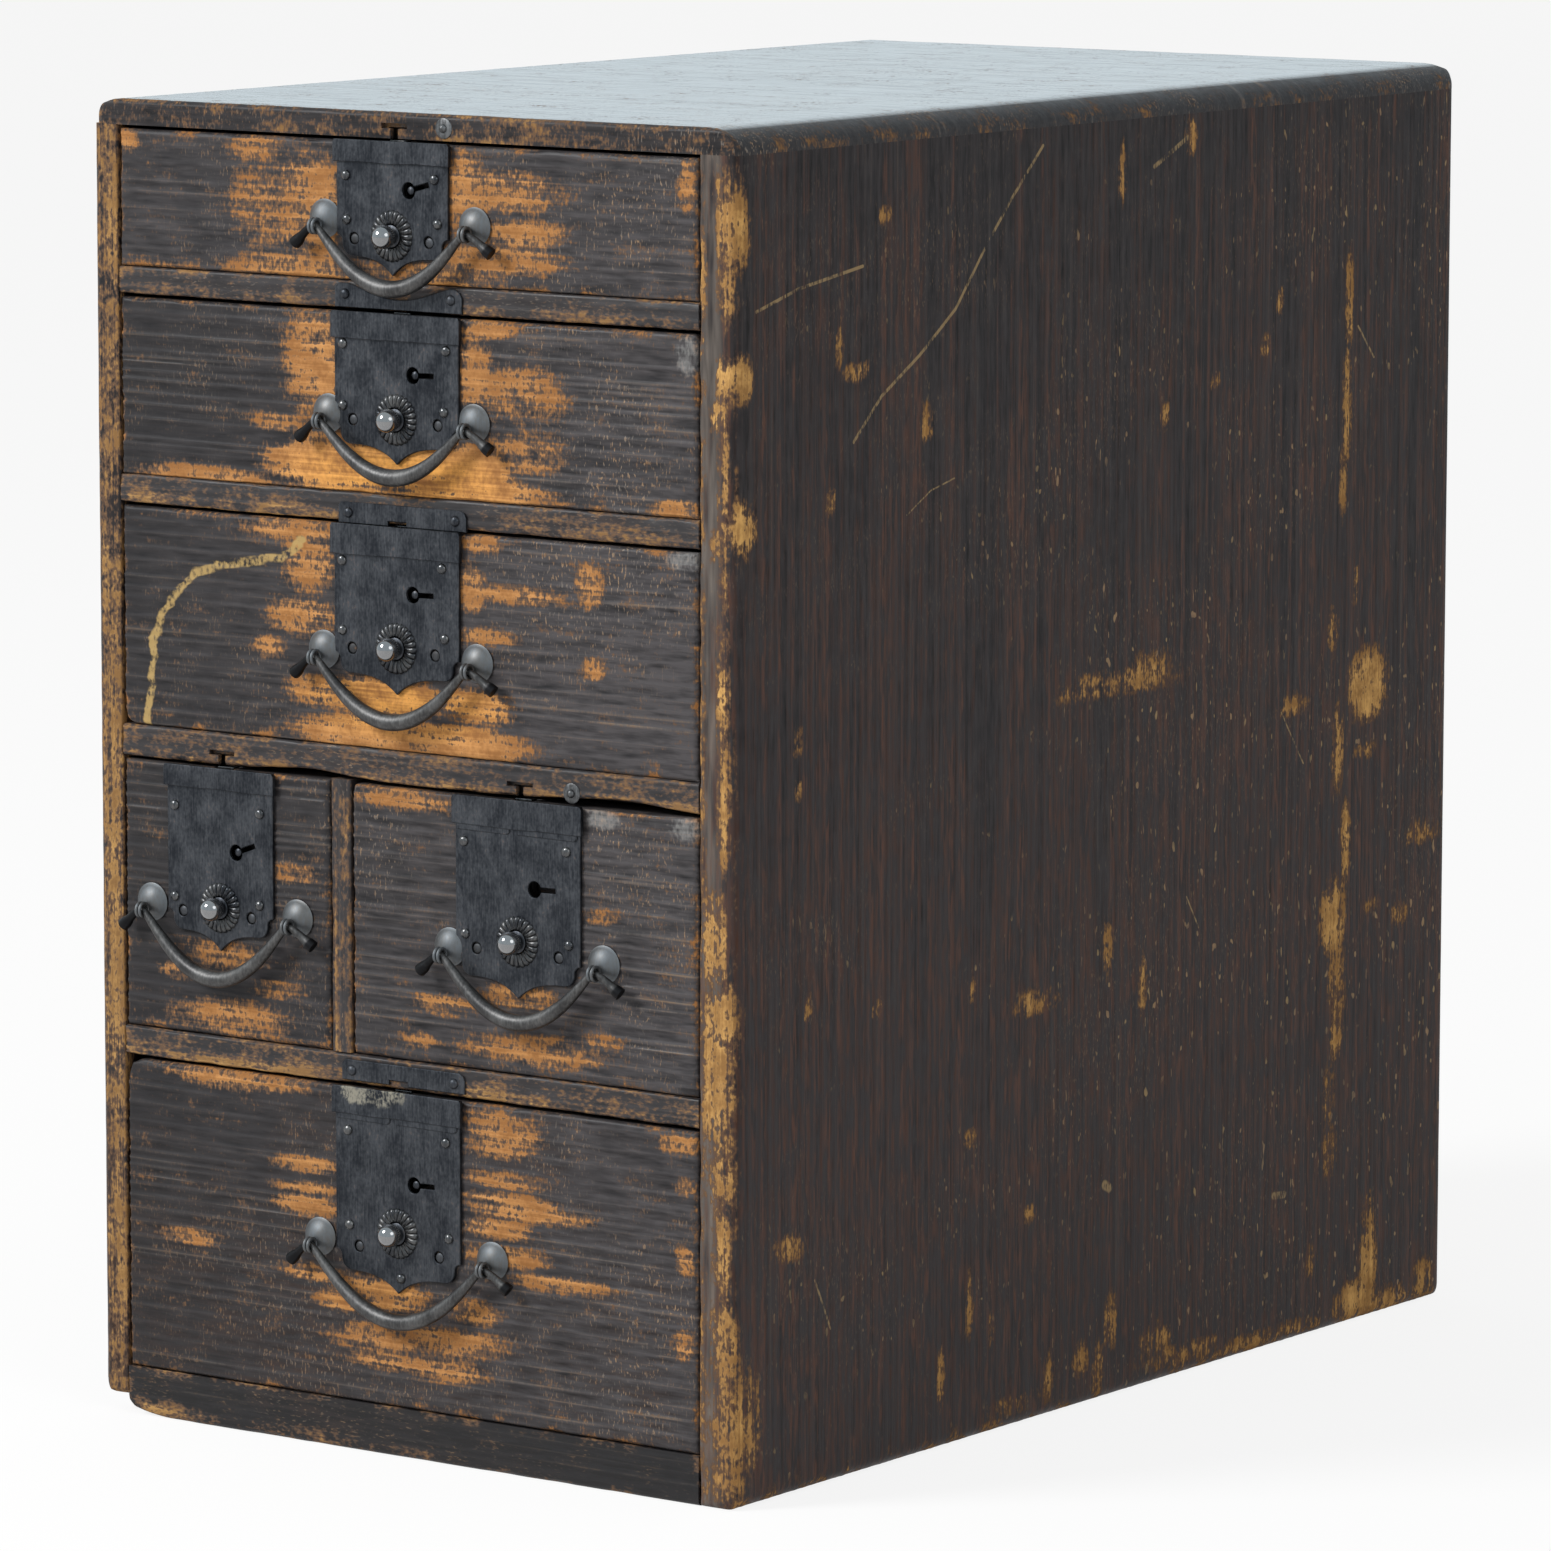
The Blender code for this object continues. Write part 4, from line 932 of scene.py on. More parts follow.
def case_finish(look, grain_axis):
    """Stain of the rails and the divider, which share one finish along each axis."""
    name = "stained case wood, upright grain" if grain_axis == AXIS_Z else "stained case wood, level grain"
    return kept(name, stained_wood, look, grain_axis, case_timber(look), warmth=0.5, flecked=0.6, calm=0.45,
                shine=0.28, hazed=0.6, stroke_axis=grain_axis)


def iron_finish(look, kind):
    """Iron of one kind: plate, handle, knob or nail."""
    if kind == "plate":
        return kept("lock plate iron", old_iron, look.black, look.black_rubbed, 0.42, rust=0.25, look=look)
    if kind == "handle":
        return kept("handle iron", old_iron, look.grey, look.grey_rubbed, 0.46, rust=0.15, look=look, sooty=True)
    if kind == "knob":
        return kept("knob iron", old_iron, look.black_rubbed, look.grey_rubbed, 0.12, coat=1.0, gleam=2.4)
    return kept("nail iron", old_iron, look.black, look.grey_rubbed, 0.30, coat=0.5)


def a_length(name, description, default, least=0.0):
    return FloatProperty(name=name, description=description, default=default, min=least, unit="LENGTH", precision=5)


def an_angle(name, description, degrees):
    return FloatProperty(name=name, description=description, default=math.radians(degrees), subtype="ANGLE")


def a_power(name, description, default):
    return FloatProperty(name=name, description=description, default=default, min=0.0, unit="POWER")


def a_colour(name, description, *default):
    return FloatVectorProperty(name=name, description=description, default=default, size=3, subtype="COLOR")


class WoodLook(bpy.types.PropertyGroup):
    """Sizes and colours of the boards"""

    ridge_height: a_length("Grain height", "How far the hard grain stands out of the drawer fronts", 0.42 * MM)
    ridge_pitch: a_length("Grain pitch", "Mean distance between hard grain lines on the drawer fronts", 4.1 * MM, MM)
    case_height: a_length("Case grain height", "How far the grain stands out of the carcass boards", 0.14 * MM)
    case_pitch: a_length("Case grain pitch", "Mean distance between grain lines on the carcass boards", 5.2 * MM, MM)
    stain: a_colour("Stain", "Dark stain", 0.0115, 0.0108, 0.0120)
    warm_stain: a_colour("Warm stain", "Stain where the wood shows through", 0.034, 0.0165, 0.0098)
    side_stain: a_colour("Side stain", "Warm stain of the right side", 0.090, 0.0425, 0.0285)
    # Also painted shade in the dip under each standing grain line.
    black_stain_and_shade: a_colour("Black stain", "Stain in the soft grain", 0.0045, 0.0038, 0.004)
    haze: a_colour("Haze", "Dulled stain", 0.038, 0.034, 0.035)
    front_haze: a_colour("Front haze", "Dulled stain of the drawer fronts", 0.058, 0.053, 0.055)
    brown: a_colour("Thin stain", "Stain that is nearly worn through", 0.112, 0.064, 0.037)
    scratch: a_colour("Scratches", "Old scratches in the stain", 0.27, 0.19, 0.095)
    bare: a_colour("Bare wood", "Wood with the stain rubbed off", 0.49, 0.235, 0.078)
    polished: a_colour("Polished bare wood", "Bare wood where fingers pull the handles", 0.70, 0.33, 0.075)
    deep_bare: a_colour("Deep bare wood", "Darker grain of the bare wood", 0.25, 0.108, 0.033)
    ochre: a_colour("Bare case wood", "Carcass wood with the stain rubbed off", 0.46, 0.265, 0.088)
    deep_ochre: a_colour("Deep bare case wood", "Darker grain of the bare carcass wood", 0.19, 0.100, 0.036)
    # Also the colour of the painted highlights along the crests of the standing grain.
    flecks: a_colour("Flecks", "Fine specks and grain lines in the stain", 0.165, 0.142, 0.122)
    warm_flecks: a_colour("Warm flecks", "Specks where the wood shows through", 0.27, 0.175, 0.100)
    # Also a painted glint of light on the fronts' bruised corners.
    bruise: a_colour("Bruises", "Pale bruised corners", 0.30, 0.30, 0.29)
    drip: a_colour("Drip", "Old yellowed drip", 0.36, 0.245, 0.092)
    inner: a_colour("Inner wood", "Unstained wood of trays and back", 0.30, 0.19, 0.095)
    deep_inner: a_colour("Deep inner wood", "Darker grain of the unstained wood", 0.17, 0.095, 0.045)


class IronLook(bpy.types.PropertyGroup):
    """Sizes and colours of the iron"""

    petals: IntProperty(name="Petals", description="Petals of each rosette", default=24, min=6, max=48)
    rivet_r: a_length("Rivet radius", "Radius of the rivets' heads", 1.85 * MM, 0.5 * MM)
    black: a_colour("Black iron", "Blackened plates and knobs", 0.015, 0.0175, 0.0225)
    black_rubbed: a_colour("Rubbed black iron", "Plates where they are rubbed", 0.066, 0.070, 0.078)
    grey: a_colour("Grey iron", "Handles and domes", 0.040, 0.039, 0.039)
    grey_rubbed: a_colour("Rubbed grey iron", "Handles where hands rub them", 0.112, 0.110, 0.108)
    dome: a_colour("Dome iron", "Domes where they are rubbed", 0.130, 0.143, 0.155)
    washer: a_colour("Washer iron", "The two nailed washers", 0.150, 0.155, 0.160)
    dust: a_colour("Dust", "Old dust on one band", 0.25, 0.23, 0.175)
    # Also painted shade along the handles' left stubs.
    soot: a_colour("Soot", "Black tips of the handles", 0.008, 0.008, 0.009)
    rust: a_colour("Rust", "Specks of rust", 0.12, 0.06, 0.03)


class StageLook(bpy.types.PropertyGroup):
    """Camera, lamps and floor"""

    azimuth: an_angle("Azimuth", "Camera to the right of the front", 35.815)
    elevation: an_angle("Elevation", "Camera above level", 8.053)
    roll: an_angle("Roll", "Turn of the picture", 0.079)
    distance: a_length("Distance", "Camera from its target", 3.08941, 0.5)
    target: FloatVectorProperty(
        name="Target", description="Point that the camera looks at", subtype="XYZ", size=3, unit="LENGTH",
        default=(-8.68 * MM, 0.0, 210.67 * MM))
    lens: FloatProperty(name="Lens", description="Focal length for a 36 mm sensor", default=200.59, unit="CAMERA")
    shift: FloatVectorProperty(
        name="Shift", description="Small shift of the picture", size=2, default=(0.00034, -0.00412))
    sky: FloatProperty(name="Sky", description="Level of the light from all round", default=0.50, min=0.0)
    gloss: a_colour("Gloss", "Colour of the surround in shiny surfaces", 0.83, 0.94, 1.0)
    key: a_power("Key lamp", "Power of the soft lamp at the upper left", 95.0)
    fill: a_power("Fill lamp", "Power of the soft lamp at the right", 16.0)


class Maker:
    """What the chest's operators have in common: each makes its pieces with one of the looks."""

    bl_options = {"REGISTER", "UNDO"}

    def execute(self, context):
        self.make(getattr(context.scene, self.look_name))
        return {"FINISHED"}


class WoodMaker(Maker):
    look_name = "tansu_wood"


class IronMaker(Maker):
    look_name = "tansu_iron"


# Boards of the chest


def over(number):
    """Underside of the wood above a drawer."""
    undersides = [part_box("top_board")[0].z] + [low.z for low, _ in SHELVES]
    return min(z for z in undersides if z > LOCKS[number].top - FIT)


def bolt_cuts(*numbers):
    """Cuts over these drawers for their bolts, with a T-shaped slot in front where there is one."""
    cuts = []
    for number in numbers:
        middle, under = LOCKS[number].x, over(number)
        across = about(middle, BOLT_W / 2 + BOLT_RUN)
        pocket = (FACE + BOLT_SET - BOLT_RUN, FACE + BOLT_SET + BOLT_T + BOLT_RUN)
        cuts.append(block(across, pocket, (BEFORE, under + MORTISE_H)))
        if number in SLOTTED:
            (stem_w, stem_h), (bar_w, bar_h) = SLOT_STEM, SLOT_BAR
            ahead = (BEFORE, FACE + BOLT_SET)
            cuts.append(block(about(middle, stem_w / 2), ahead, (BEFORE, under + stem_h)))
            cuts.append(block(about(middle, bar_w / 2), ahead, (under + stem_h, under + stem_h + bar_h)))
    return cuts


def on_plate(lock, places):
    """Places in millimetres from the lock's middle and top edge, in the chest's own X and Z."""
    return [(lock.x + across * MM, lock.top - down * MM) for across, down in places]


class TANSU_OT_drawer_fronts(WoodMaker, bpy.types.Operator):
    """Make the six worn drawer fronts"""

    bl_idname = "tansu.drawer_fronts"
    bl_label = "Drawer fronts"

    def make(self, look):
        for number, lock in LOCKS.items():
            self.make_front(look, number, lock)

    def make_front(self, look, number, lock):
        low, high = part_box(f"{lock.name}_front")
        spare = BOLT_RUN + look.ridge_height  # the groove's walls have standing grain too
        key_x, key_z = lock.key
        cuts = [
            block(about(lock.x, BOLT_W / 2 + spare), (BEFORE, FACE + GROOVE_DEPTH),
                  (lock.knob_z - KNOB_R - spare, PAST)),
            block((lock.x, key_x + KEY_SLOT_L + KEY_SLOT_T), (BEFORE, FACE + KEY_POCKET),
                  about(key_z, KEY_R + KEY_SLOT_T)),
        ]
        for ends in ((BEFORE, low.x + TRAY_T + FIT), (high.x - TRAY_T - FIT, PAST)):
            cuts.append(block(ends, (FACE + FRONT_T - LAP, PAST), ALL))
        rounds = around(AXIS_X, AXIS_Y, 1.9 * MM, ends_b=(-1,)) + around(AXIS_Y, AXIS_Z, 1.6 * MM, ends_a=(-1,))
        for drawer, end_x, end_z, radius in LOST_CORNERS:
            if drawer == number:
                rounds += around(AXIS_X, AXIS_Z, radius, (end_x,), (end_z,))
        shape = board(low, high, (2.4 * MM, 3.5 * MM, 0.55 * MM), rounds, cuts)

        def worn(points, spread):
            x, y, z = points.T
            places = rubbed(x - lock.x, lock.top - z, RUBBED[number])
            sill = 0.6 * bell(z - low.z, 2.6 * MM) * smoothstep(spread, 0.25, 0.85)
            return np.maximum(places, sill) * (y < FACE + 2.5 * MM)

        left_haze, right_haze = FRONT_HAZE[number]
        finish = stained_wood(
            f"worn front wood {number}", look, AXIS_X, warmth=FRONT_WARMTH[number], sunk=0.4, flecked=0.8, calm=0.4,
            fibrous=1.5, shine=0.175, hazed=left_haze, hazed_right=right_haze, dulled=look.front_haze,
            drip=on_plate(lock, DRIP) if number == DRIPPED else ())
        grain = (AXIS_X, AXIS_Z, look.ridge_pitch, look.ridge_height * FRONT_RELIEF.get(number, 1), 10 * number)
        made = add_board(f"{lock.name}_front_board", shape, (low, high), grain, finish, f"{lock.name}_front", worn,
                         lock.body, "front_wood")
        x, y, z = mesh_points(made).T
        under = (lock.top - lock.point) / MM + 4
        places = {"bruise": BRUISED_AND_GLINTING.get(number, ()), "pulled": ((0, under, 42, 9, PULLED[number]),)}
        for key, spots in places.items():
            add_mark(made, key, rubbed(x - lock.x, lock.top - z, spots) * (y < FACE + 3 * MM))


class TANSU_OT_drawer_trays(WoodMaker, bpy.types.Operator):
    """Make the boxes behind the drawer fronts"""

    bl_idname = "tansu.drawer_trays"
    bl_label = "Drawer trays"

    def make(self, look):
        finish = kept("bare tray wood", bare_wood, look, AXIS_Y)
        rounds = around(AXIS_X, AXIS_Z, 0.9 * MM) + around(AXIS_X, AXIS_Y, 0.9 * MM, ends_b=(1,))
        grain = (AXIS_Y, AXIS_Z, 6 * MM, 0.08 * MM, 7)
        for lock in LOCKS.values():
            low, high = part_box(f"{lock.name}_tray")
            inside, floor = (low.x + TRAY_T, high.x - TRAY_T), low.z + TRAY_FLOOR_T
            cuts = [
                block(inside, (BEFORE, high.y - TRAY_T), (floor, PAST)),
                block(inside, (BEFORE, FACE + FRONT_T + FIT), (BEFORE, floor + FIT)),
            ]
            shape = board(low, high, (9 * MM, 14 * MM, 2.2 * MM), rounds, cuts)
            add_board(f"{lock.name}_tray_box", shape, (low, high), grain, finish, f"{lock.name}_tray", None,
                      lock.body, "bare_wood")


class TANSU_OT_top_board(WoodMaker, bpy.types.Operator):
    """Make the top board with its rounded shoulders"""

    bl_idname = "tansu.top_board"
    bl_label = "Top board"

    def make(self, look):
        low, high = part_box("top_board")
        shoulder = (13 * MM, high.z - low.z - 0.8 * MM)
        rounds = [((AXIS_X, AXIS_Z), (end, 1), shoulder) for end in (-1, 1)]
        rounds += around(AXIS_X, AXIS_Y, 6.5 * MM, ends_a=(-1,)) + around(AXIS_X, AXIS_Y, 4.2 * MM, ends_a=(1,))
        rounds += around(AXIS_Y, AXIS_Z, 1.8 * MM, ends_b=(1,))
        shape = board(low, high, (5 * MM, 1.7 * MM, 1.6 * MM), rounds, bolt_cuts(1))

        def worn(points, spread):
            x, y, z = points.T
            sill = 0.5 * bell(z - low.z, 2.4 * MM) * smoothstep(spread, 0.3, 0.8)
            face = 0.02 + 0.33 * cloud(x / (13 * MM), z / (5 * MM), 90)
            left = 0.6 * smoothstep(low.x + 9 * MM - x, 0, 9 * MM) * smoothstep(spread, 0.2, 0.7)
            right = 0.3 * smoothstep(x - high.x + 5 * MM, 0, 5 * MM) * smoothstep(spread, 0.45, 0.85)
            return most(np.maximum(sill, face) * (y < FACE + 2.5 * MM), left, right)

        finish = stained_wood(
            "stained top wood", look, AXIS_X, case_timber(look), warmth=0.3, flecked=0.9, calm=0.4, shine=0.15,
            hazed=0.55, coat=1.0)
        grain = (AXIS_X, AXIS_Y, look.case_pitch, 0.8 * look.case_height, 101)
        no_edge = Vector((low.x, low.y, low.z - HIDDEN_EDGE))
        add_board("top_board_worn", shape, (no_edge, high), grain, finish, "top_board", worn)


class TANSU_OT_sides(WoodMaker, bpy.types.Operator):
    """Make the two sides with their grooves and rounded edges"""

    bl_idname = "tansu.sides"
    bl_label = "Sides"

    def make(self, look):
        self.make_side(look, "left", -1, LEFT, LEFT_RUBBED, 120, stained_wood(
            "stained left side wood", look, AXIS_Z, case_timber(look), warmth=0.60, flecked=0.22, shine=0.16, sunk=1.6,
            calm=0.8, hazed=0.25, banded=1.6, ticked=0.7, fibrous=2.2, scratches=LEFT_SCRATCHES))
        right = self.make_side(look, "right", 1, RIGHT, SIDE_RUBBED, 133, stained_wood(
            "stained right side wood", look, AXIS_Z, case_timber(look, 1.25), warmth=1.0, flecked=0.20, shine=0.065,
            warm=look.side_stain, sunk=2.6, calm=0.8, hazed=0.72, risen=-0.30, banded=2.6, ticked=0.9, fibrous=2.2,
            scratches=SCRATCHES))
        x, y, _ = mesh_points(right).T
        add_mark(right, "dull", (y < FACE + 2 * MM) * (1 - smoothstep(x, RIGHT + 6 * MM, RIGHT + 11 * MM)))

    def make_side(self, look, hand, sign, inner, knocks, seed, finish):
        low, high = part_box(f"side_{hand}")

        def from_inside(depth, ys, zs):
            return block(sorted((sign * BEFORE, inner + sign * depth)), ys, zs)

        tops = [(shelf_high.z, DUST_T) for _, shelf_high in SHELVES] + [(TONGUE_TOP, TONGUE_T)]
        cuts = [from_inside(HOUSING, (RAIL_BACK, PANEL_FACE), (top - t - FIT, top + FIT)) for top, t in tops]
        cuts.append(from_inside(BACK_REBATE, (PANEL_FACE, PAST), (BOTTOM_T, PAST)))
        rounds = around(AXIS_X, AXIS_Y, 4.2 * MM, ends_a=(sign,)) + around(AXIS_X, AXIS_Z, 5 * MM, (sign,), (-1,))
        rounds += around(AXIS_X, AXIS_Y, 0.8 * MM, (-sign,), (-1,)) + around(AXIS_Y, AXIS_Z, 2.2 * MM, ends_b=(-1,))
        points, faces = board(low, high, (3.5 * MM, 1.7 * MM, 4.2 * MM), rounds, cuts)
        points[:, AXIS_Z] += FIT * (points[:, AXIS_Z] > high.z - FIT / 2)  # up against the top board

        def worn(points, spread):
            x, y, z = points.T
            strands = cloud(x / (1.6 * MM), z / (45 * MM), 31)
            if hand == "left":
                front = 0.30 + 0.38 * strands
            else:
                front = rubbed(x, z, EDGE_RUBBED, (1, 1)) * (0.40 + 1.1 * strands)
            places = rubbed(y, z, knocks, (0.8, 0.8)) * (np.abs(x) - abs(inner) > 0.4 * (high.x - low.x))
            places *= 0.40 + 0.8 * cloud(y / (4 * MM), z / (9 * MM), 44)
            foot = 0.6 * bell(z - low.z, 5 * MM) * smoothstep(spread, 0.4, 0.8)
            return most(front * (y < FACE + 4.6 * MM), places, foot)

        grain = (AXIS_Z, AXIS_Y, look.case_pitch, look.case_height, seed)
        no_edge = Vector((high.x, high.y, high.z + HIDDEN_EDGE))
        return add_board(f"side_{hand}_board", (points, faces), (low, no_edge), grain, finish, f"side_{hand}", worn)


class TANSU_OT_bottom_board(WoodMaker, bpy.types.Operator):
    """Make the bottom board between the sides"""

    bl_idname = "tansu.bottom_board"
    bl_label = "Bottom board"

    def make(self, look):
        low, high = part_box("bottom_board")
        start, end = LEFT + FIT, RIGHT - FIT
        cuts = []
        for ends in ((BEFORE, start), (end, PAST)):
            cuts += [block(ends, ys, ALL) for ys in ((BEFORE, RAIL_BACK + FIT), (PANEL_FACE - FIT, PAST))]
            cuts += [block(ends, (FACE, REAR), zs) for zs in ((BEFORE, TONGUE_TOP - TONGUE_T), (TONGUE_TOP, PAST))]
        middle = Vector((start, low.y, low.z)), Vector((end, high.y, high.z))
        lost_run, lost_rise = LOST_FOOT
        wanted = [start + lost_run * share for share in ROUND_MARKS], [], []
        rounds = around(AXIS_Y, AXIS_Z, 1.8 * MM, ends_b=(-1,))
        points, faces = board(low, high, (4 * MM, 6 * MM, 1.4 * MM), rounds, cuts, wanted)
        bent = points.copy()
        round_edge(bent, *middle, (AXIS_X, AXIS_Z), (-1, -1), (lost_run, lost_rise))
        between = points[:, AXIS_X] >= start - FIT / 2
        points[between] = bent[between]

        def worn(points, spread):
            x, y, z = points.T
            left = 0.45 + 0.9 * smoothstep(start + 30 * MM - x, 0, 22 * MM)
            left *= smoothstep(40 * MM - x, 0, 60 * MM) * (y < FACE + 6 * MM)
            return left * bell(z - 0.5 * MM, 4.5 * MM) * smoothstep(spread, 0.1, 0.6)

        grain = (AXIS_X, AXIS_Z, 3.6 * MM, 1.6 * look.case_height, 141)
        finish = stained_wood(
            "stained bottom wood", look, AXIS_X, case_timber(look), warmth=0.45, flecked=0.35, calm=0.6, shine=0.26,
            hazed=0.1, stroke_axis=AXIS_X)
        add_board("bottom_board_worn", (points, faces), middle, grain, finish, "bottom_board", worn)


class TANSU_OT_shelves(WoodMaker, bpy.types.Operator):
    """Make the four rails with the dust boards behind them"""

    bl_idname = "tansu.shelves"
    bl_label = "Shelves"

    def make(self, look):
        for number, (low, high) in enumerate(SHELVES, 1):
            self.make_shelf(look, number, low, high)

    def make_shelf(self, look, number, low, high):
        cuts = [block(ALL, (RAIL_BACK, REAR), (BEFORE, high.z - DUST_T))] + bolt_cuts(*UNDER_SHELF[number])
        for ends in ((BEFORE, LEFT + FIT), (RIGHT - FIT, PAST)):
            cuts.append(block(ends, (BEFORE, RAIL_BACK + FIT), ALL))
        if number == DIVIDER_SHELF:
            divider_low, divider_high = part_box("divider")
            across = (divider_low.x - FIT, divider_high.x + FIT)
            cuts.append(block(across, (RAIL_BACK, REAR), (high.z - DIVIDER_HOUSING, PAST)))
        rounds = around(AXIS_Y, AXIS_Z, 1.1 * MM, ends_a=(-1,))
        depths = [RAIL_BACK - step * MM for step in (4, 8, 13, 18)]
        points, faces = board(low, high, (2.4 * MM, 45 * MM, 0.8 * MM), rounds, cuts, ((), depths, ()))
        if number == HOLLOW_SHELF:
            self.wear_under(points, low)

        def worn(points, spread):
            x, y, z = points.T
            runs = cloud(x / (16 * MM), z * 0 + low.z / MM, 61)
            sill = bell(z - low.z, 3.4 * MM) * (0.10 + 0.45 * runs)
            return (y < FACE + 2 * MM) * (sill + RAIL_WEAR[number - 1] * (0.4 + 0.8 * runs))

        grain = (AXIS_X, AXIS_Z, 3.0 * MM, 0.6 * look.ridge_height, 150 + number)
        rail = Vector((LEFT, low.y, low.z)), Vector((high.x, RAIL_BACK, high.z))
        add_board(f"shelf_{number}_rail", (points, faces), rail, grain, case_finish(look, AXIS_X), f"shelf_{number}",
                  worn)

    def wear_under(self, points, low):
        """This rail's lower edge is worn away over the drawers' right corners."""
        for middle, half, rise in HOLLOWS:
            x, y, z = points.T
            near = 1 - smoothstep(z - low.z, 0, 6 * MM)
            ahead = 1 - smoothstep(y - FACE, 0, 12 * MM)
            points[:, AXIS_Z] += rise * bell(x - middle, half) * near * ahead


class TANSU_OT_divider(WoodMaker, bpy.types.Operator):
    """Make the upright between the two drawers of the fourth row"""

    bl_idname = "tansu.divider"
    bl_label = "Divider"

    def make(self, look):
        low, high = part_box("divider")
        floor, ceiling = SHELVES[3][1].z + FIT, SHELVES[2][0].z - FIT
        cuts = [block(ALL, (BEFORE, RAIL_BACK + FIT), zs) for zs in ((BEFORE, floor), (ceiling, PAST))]
        rounds = around(AXIS_X, AXIS_Y, 1.0 * MM, ends_b=(-1,))
        shape = board(low, high, (1.0 * MM, 8 * MM, 3 * MM), rounds, cuts)

        def worn(points, spread):
            x, y, z = points.T
            strands = cloud(x / (1.5 * MM), z / (30 * MM), 71)
            return (y < FACE + 2 * MM) * strands * (0.35 + 0.4 * smoothstep(floor + 50 * MM - z, 0, 50 * MM))

        grain = (AXIS_Z, AXIS_X, 2.4 * MM, look.case_height, 171)
        add_board("divider_board", shape, (low, high), grain, case_finish(look, AXIS_Z), "divider", worn)


class TANSU_OT_back_panel(WoodMaker, bpy.types.Operator):
    """Make the back of three level boards"""

    bl_idname = "tansu.back_panel"
    bl_label = "Back panel"

    def make(self, look):
        low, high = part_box("back_panel")
        cuts = []
        for share in BACK_SEAMS:
            z = low.z + share * (high.z - low.z)
            cuts.append(block(ALL, (high.y - 2 * MM, PAST), (z, z + BACK_SEAM_W)))
        shape = board(low, high, (7 * MM, 3 * MM, 2.0 * MM), around(AXIS_Y, AXIS_Z, 0.8 * MM), cuts)
        grain = (AXIS_X, AXIS_Z, 7 * MM, 0.16 * MM, 181)
        finish = kept("bare back wood", bare_wood, look, AXIS_X)
        add_board("back_boards", shape, (low, high), grain, finish, "back_panel", slot="bare_wood")


class TANSU_OT_back_pegs(WoodMaker, bpy.types.Operator):
    """Make the wooden pegs that hold the back boards"""

    bl_idname = "tansu.back_pegs"
    bl_label = "Back pegs"

    def make(self, look):
        low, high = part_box("back_panel")
        profile = [(0, 1.0 * MM), (1.5 * MM, 1.0 * MM), (1.5 * MM, -0.15 * MM), (1.2 * MM, -0.3 * MM), (0, -0.34 * MM)]
        pegs = []
        for x in (low.x + 4 * MM, high.x - 4 * MM):
            for share in PEG_LEVELS:
                pegs.append(turned(profile, (x, high.y, low.z + share * (high.z - low.z)), 14))
        finish = kept("bare peg wood", bare_wood, look, AXIS_Y, shade=0.4)
        add_piece("back_pegs", *gathered(pegs), finish, "carcass", "bare_wood")


# Ironwork of the chest


def plate_outline(lock):
    """A lock plate from the front, anticlockwise: straight sides, notched heels and an ogee to its point."""
    foot = lock.point + NOTCH_RISE
    heel = lock.point + HEEL_RISE
    heel_x = lock.half - NOTCH - HEEL_ROUND
    right = [(lock.half, lock.top), (lock.half, foot)]
    for step in range(1, 6):
        turn = math.radians(90 + 90 * step / 6)
        right.append((lock.half + NOTCH * math.cos(turn), foot - NOTCH + NOTCH * math.sin(turn)))
    for step in range(7):
        turn = math.radians(-90 * step / 6)
        right.append((heel_x + HEEL_ROUND * math.cos(turn), heel + HEEL_ROUND + HEEL_ROUND * math.sin(turn)))
    ogee = interpolate_bezier(
        (heel_x, heel), (heel_x / 2, heel), (heel_x / 4, heel - HEEL_RISE / 4), (0, lock.point), 10)
    right += [(point.x, point.y) for point in ogee[1:]]
    left = [(-x, z) for x, z in reversed(right[:-1])]
    return np.array([(lock.x + x, z) for x, z in reversed(right + left)])


def keyhole(lock):
    """A round hole with a slot to its right, clockwise."""
    half = KEY_SLOT_T / 2
    gap = math.asin(half / KEY_R)
    turns = np.linspace(gap, 2 * math.pi - gap, 18)
    ring = [(KEY_R * math.cos(turn), KEY_R * math.sin(turn)) for turn in turns]
    ring += [(KEY_SLOT_L, -half), (KEY_SLOT_L, half)]
    cos, sin = math.cos(lock.key_tilt), math.sin(lock.key_tilt)
    x, z = lock.key
    return np.array([(x + u * cos - v * sin, z + u * sin + v * cos) for u, v in ring])[::-1]


def rivet(x, y, z, radius, dome=0.72):
    """A domed head with a short shank behind it."""
    turns = np.linspace(0, math.pi / 2, 7)
    profile = [(radius * math.sin(turn), dome * radius * math.cos(turn)) for turn in turns]
    profile += [(0.6 * radius, -0.1 * MM), (0.6 * radius, -0.8 * MM), (0, -0.8 * MM)]
    return turned(profile, (x, y, z), 16)


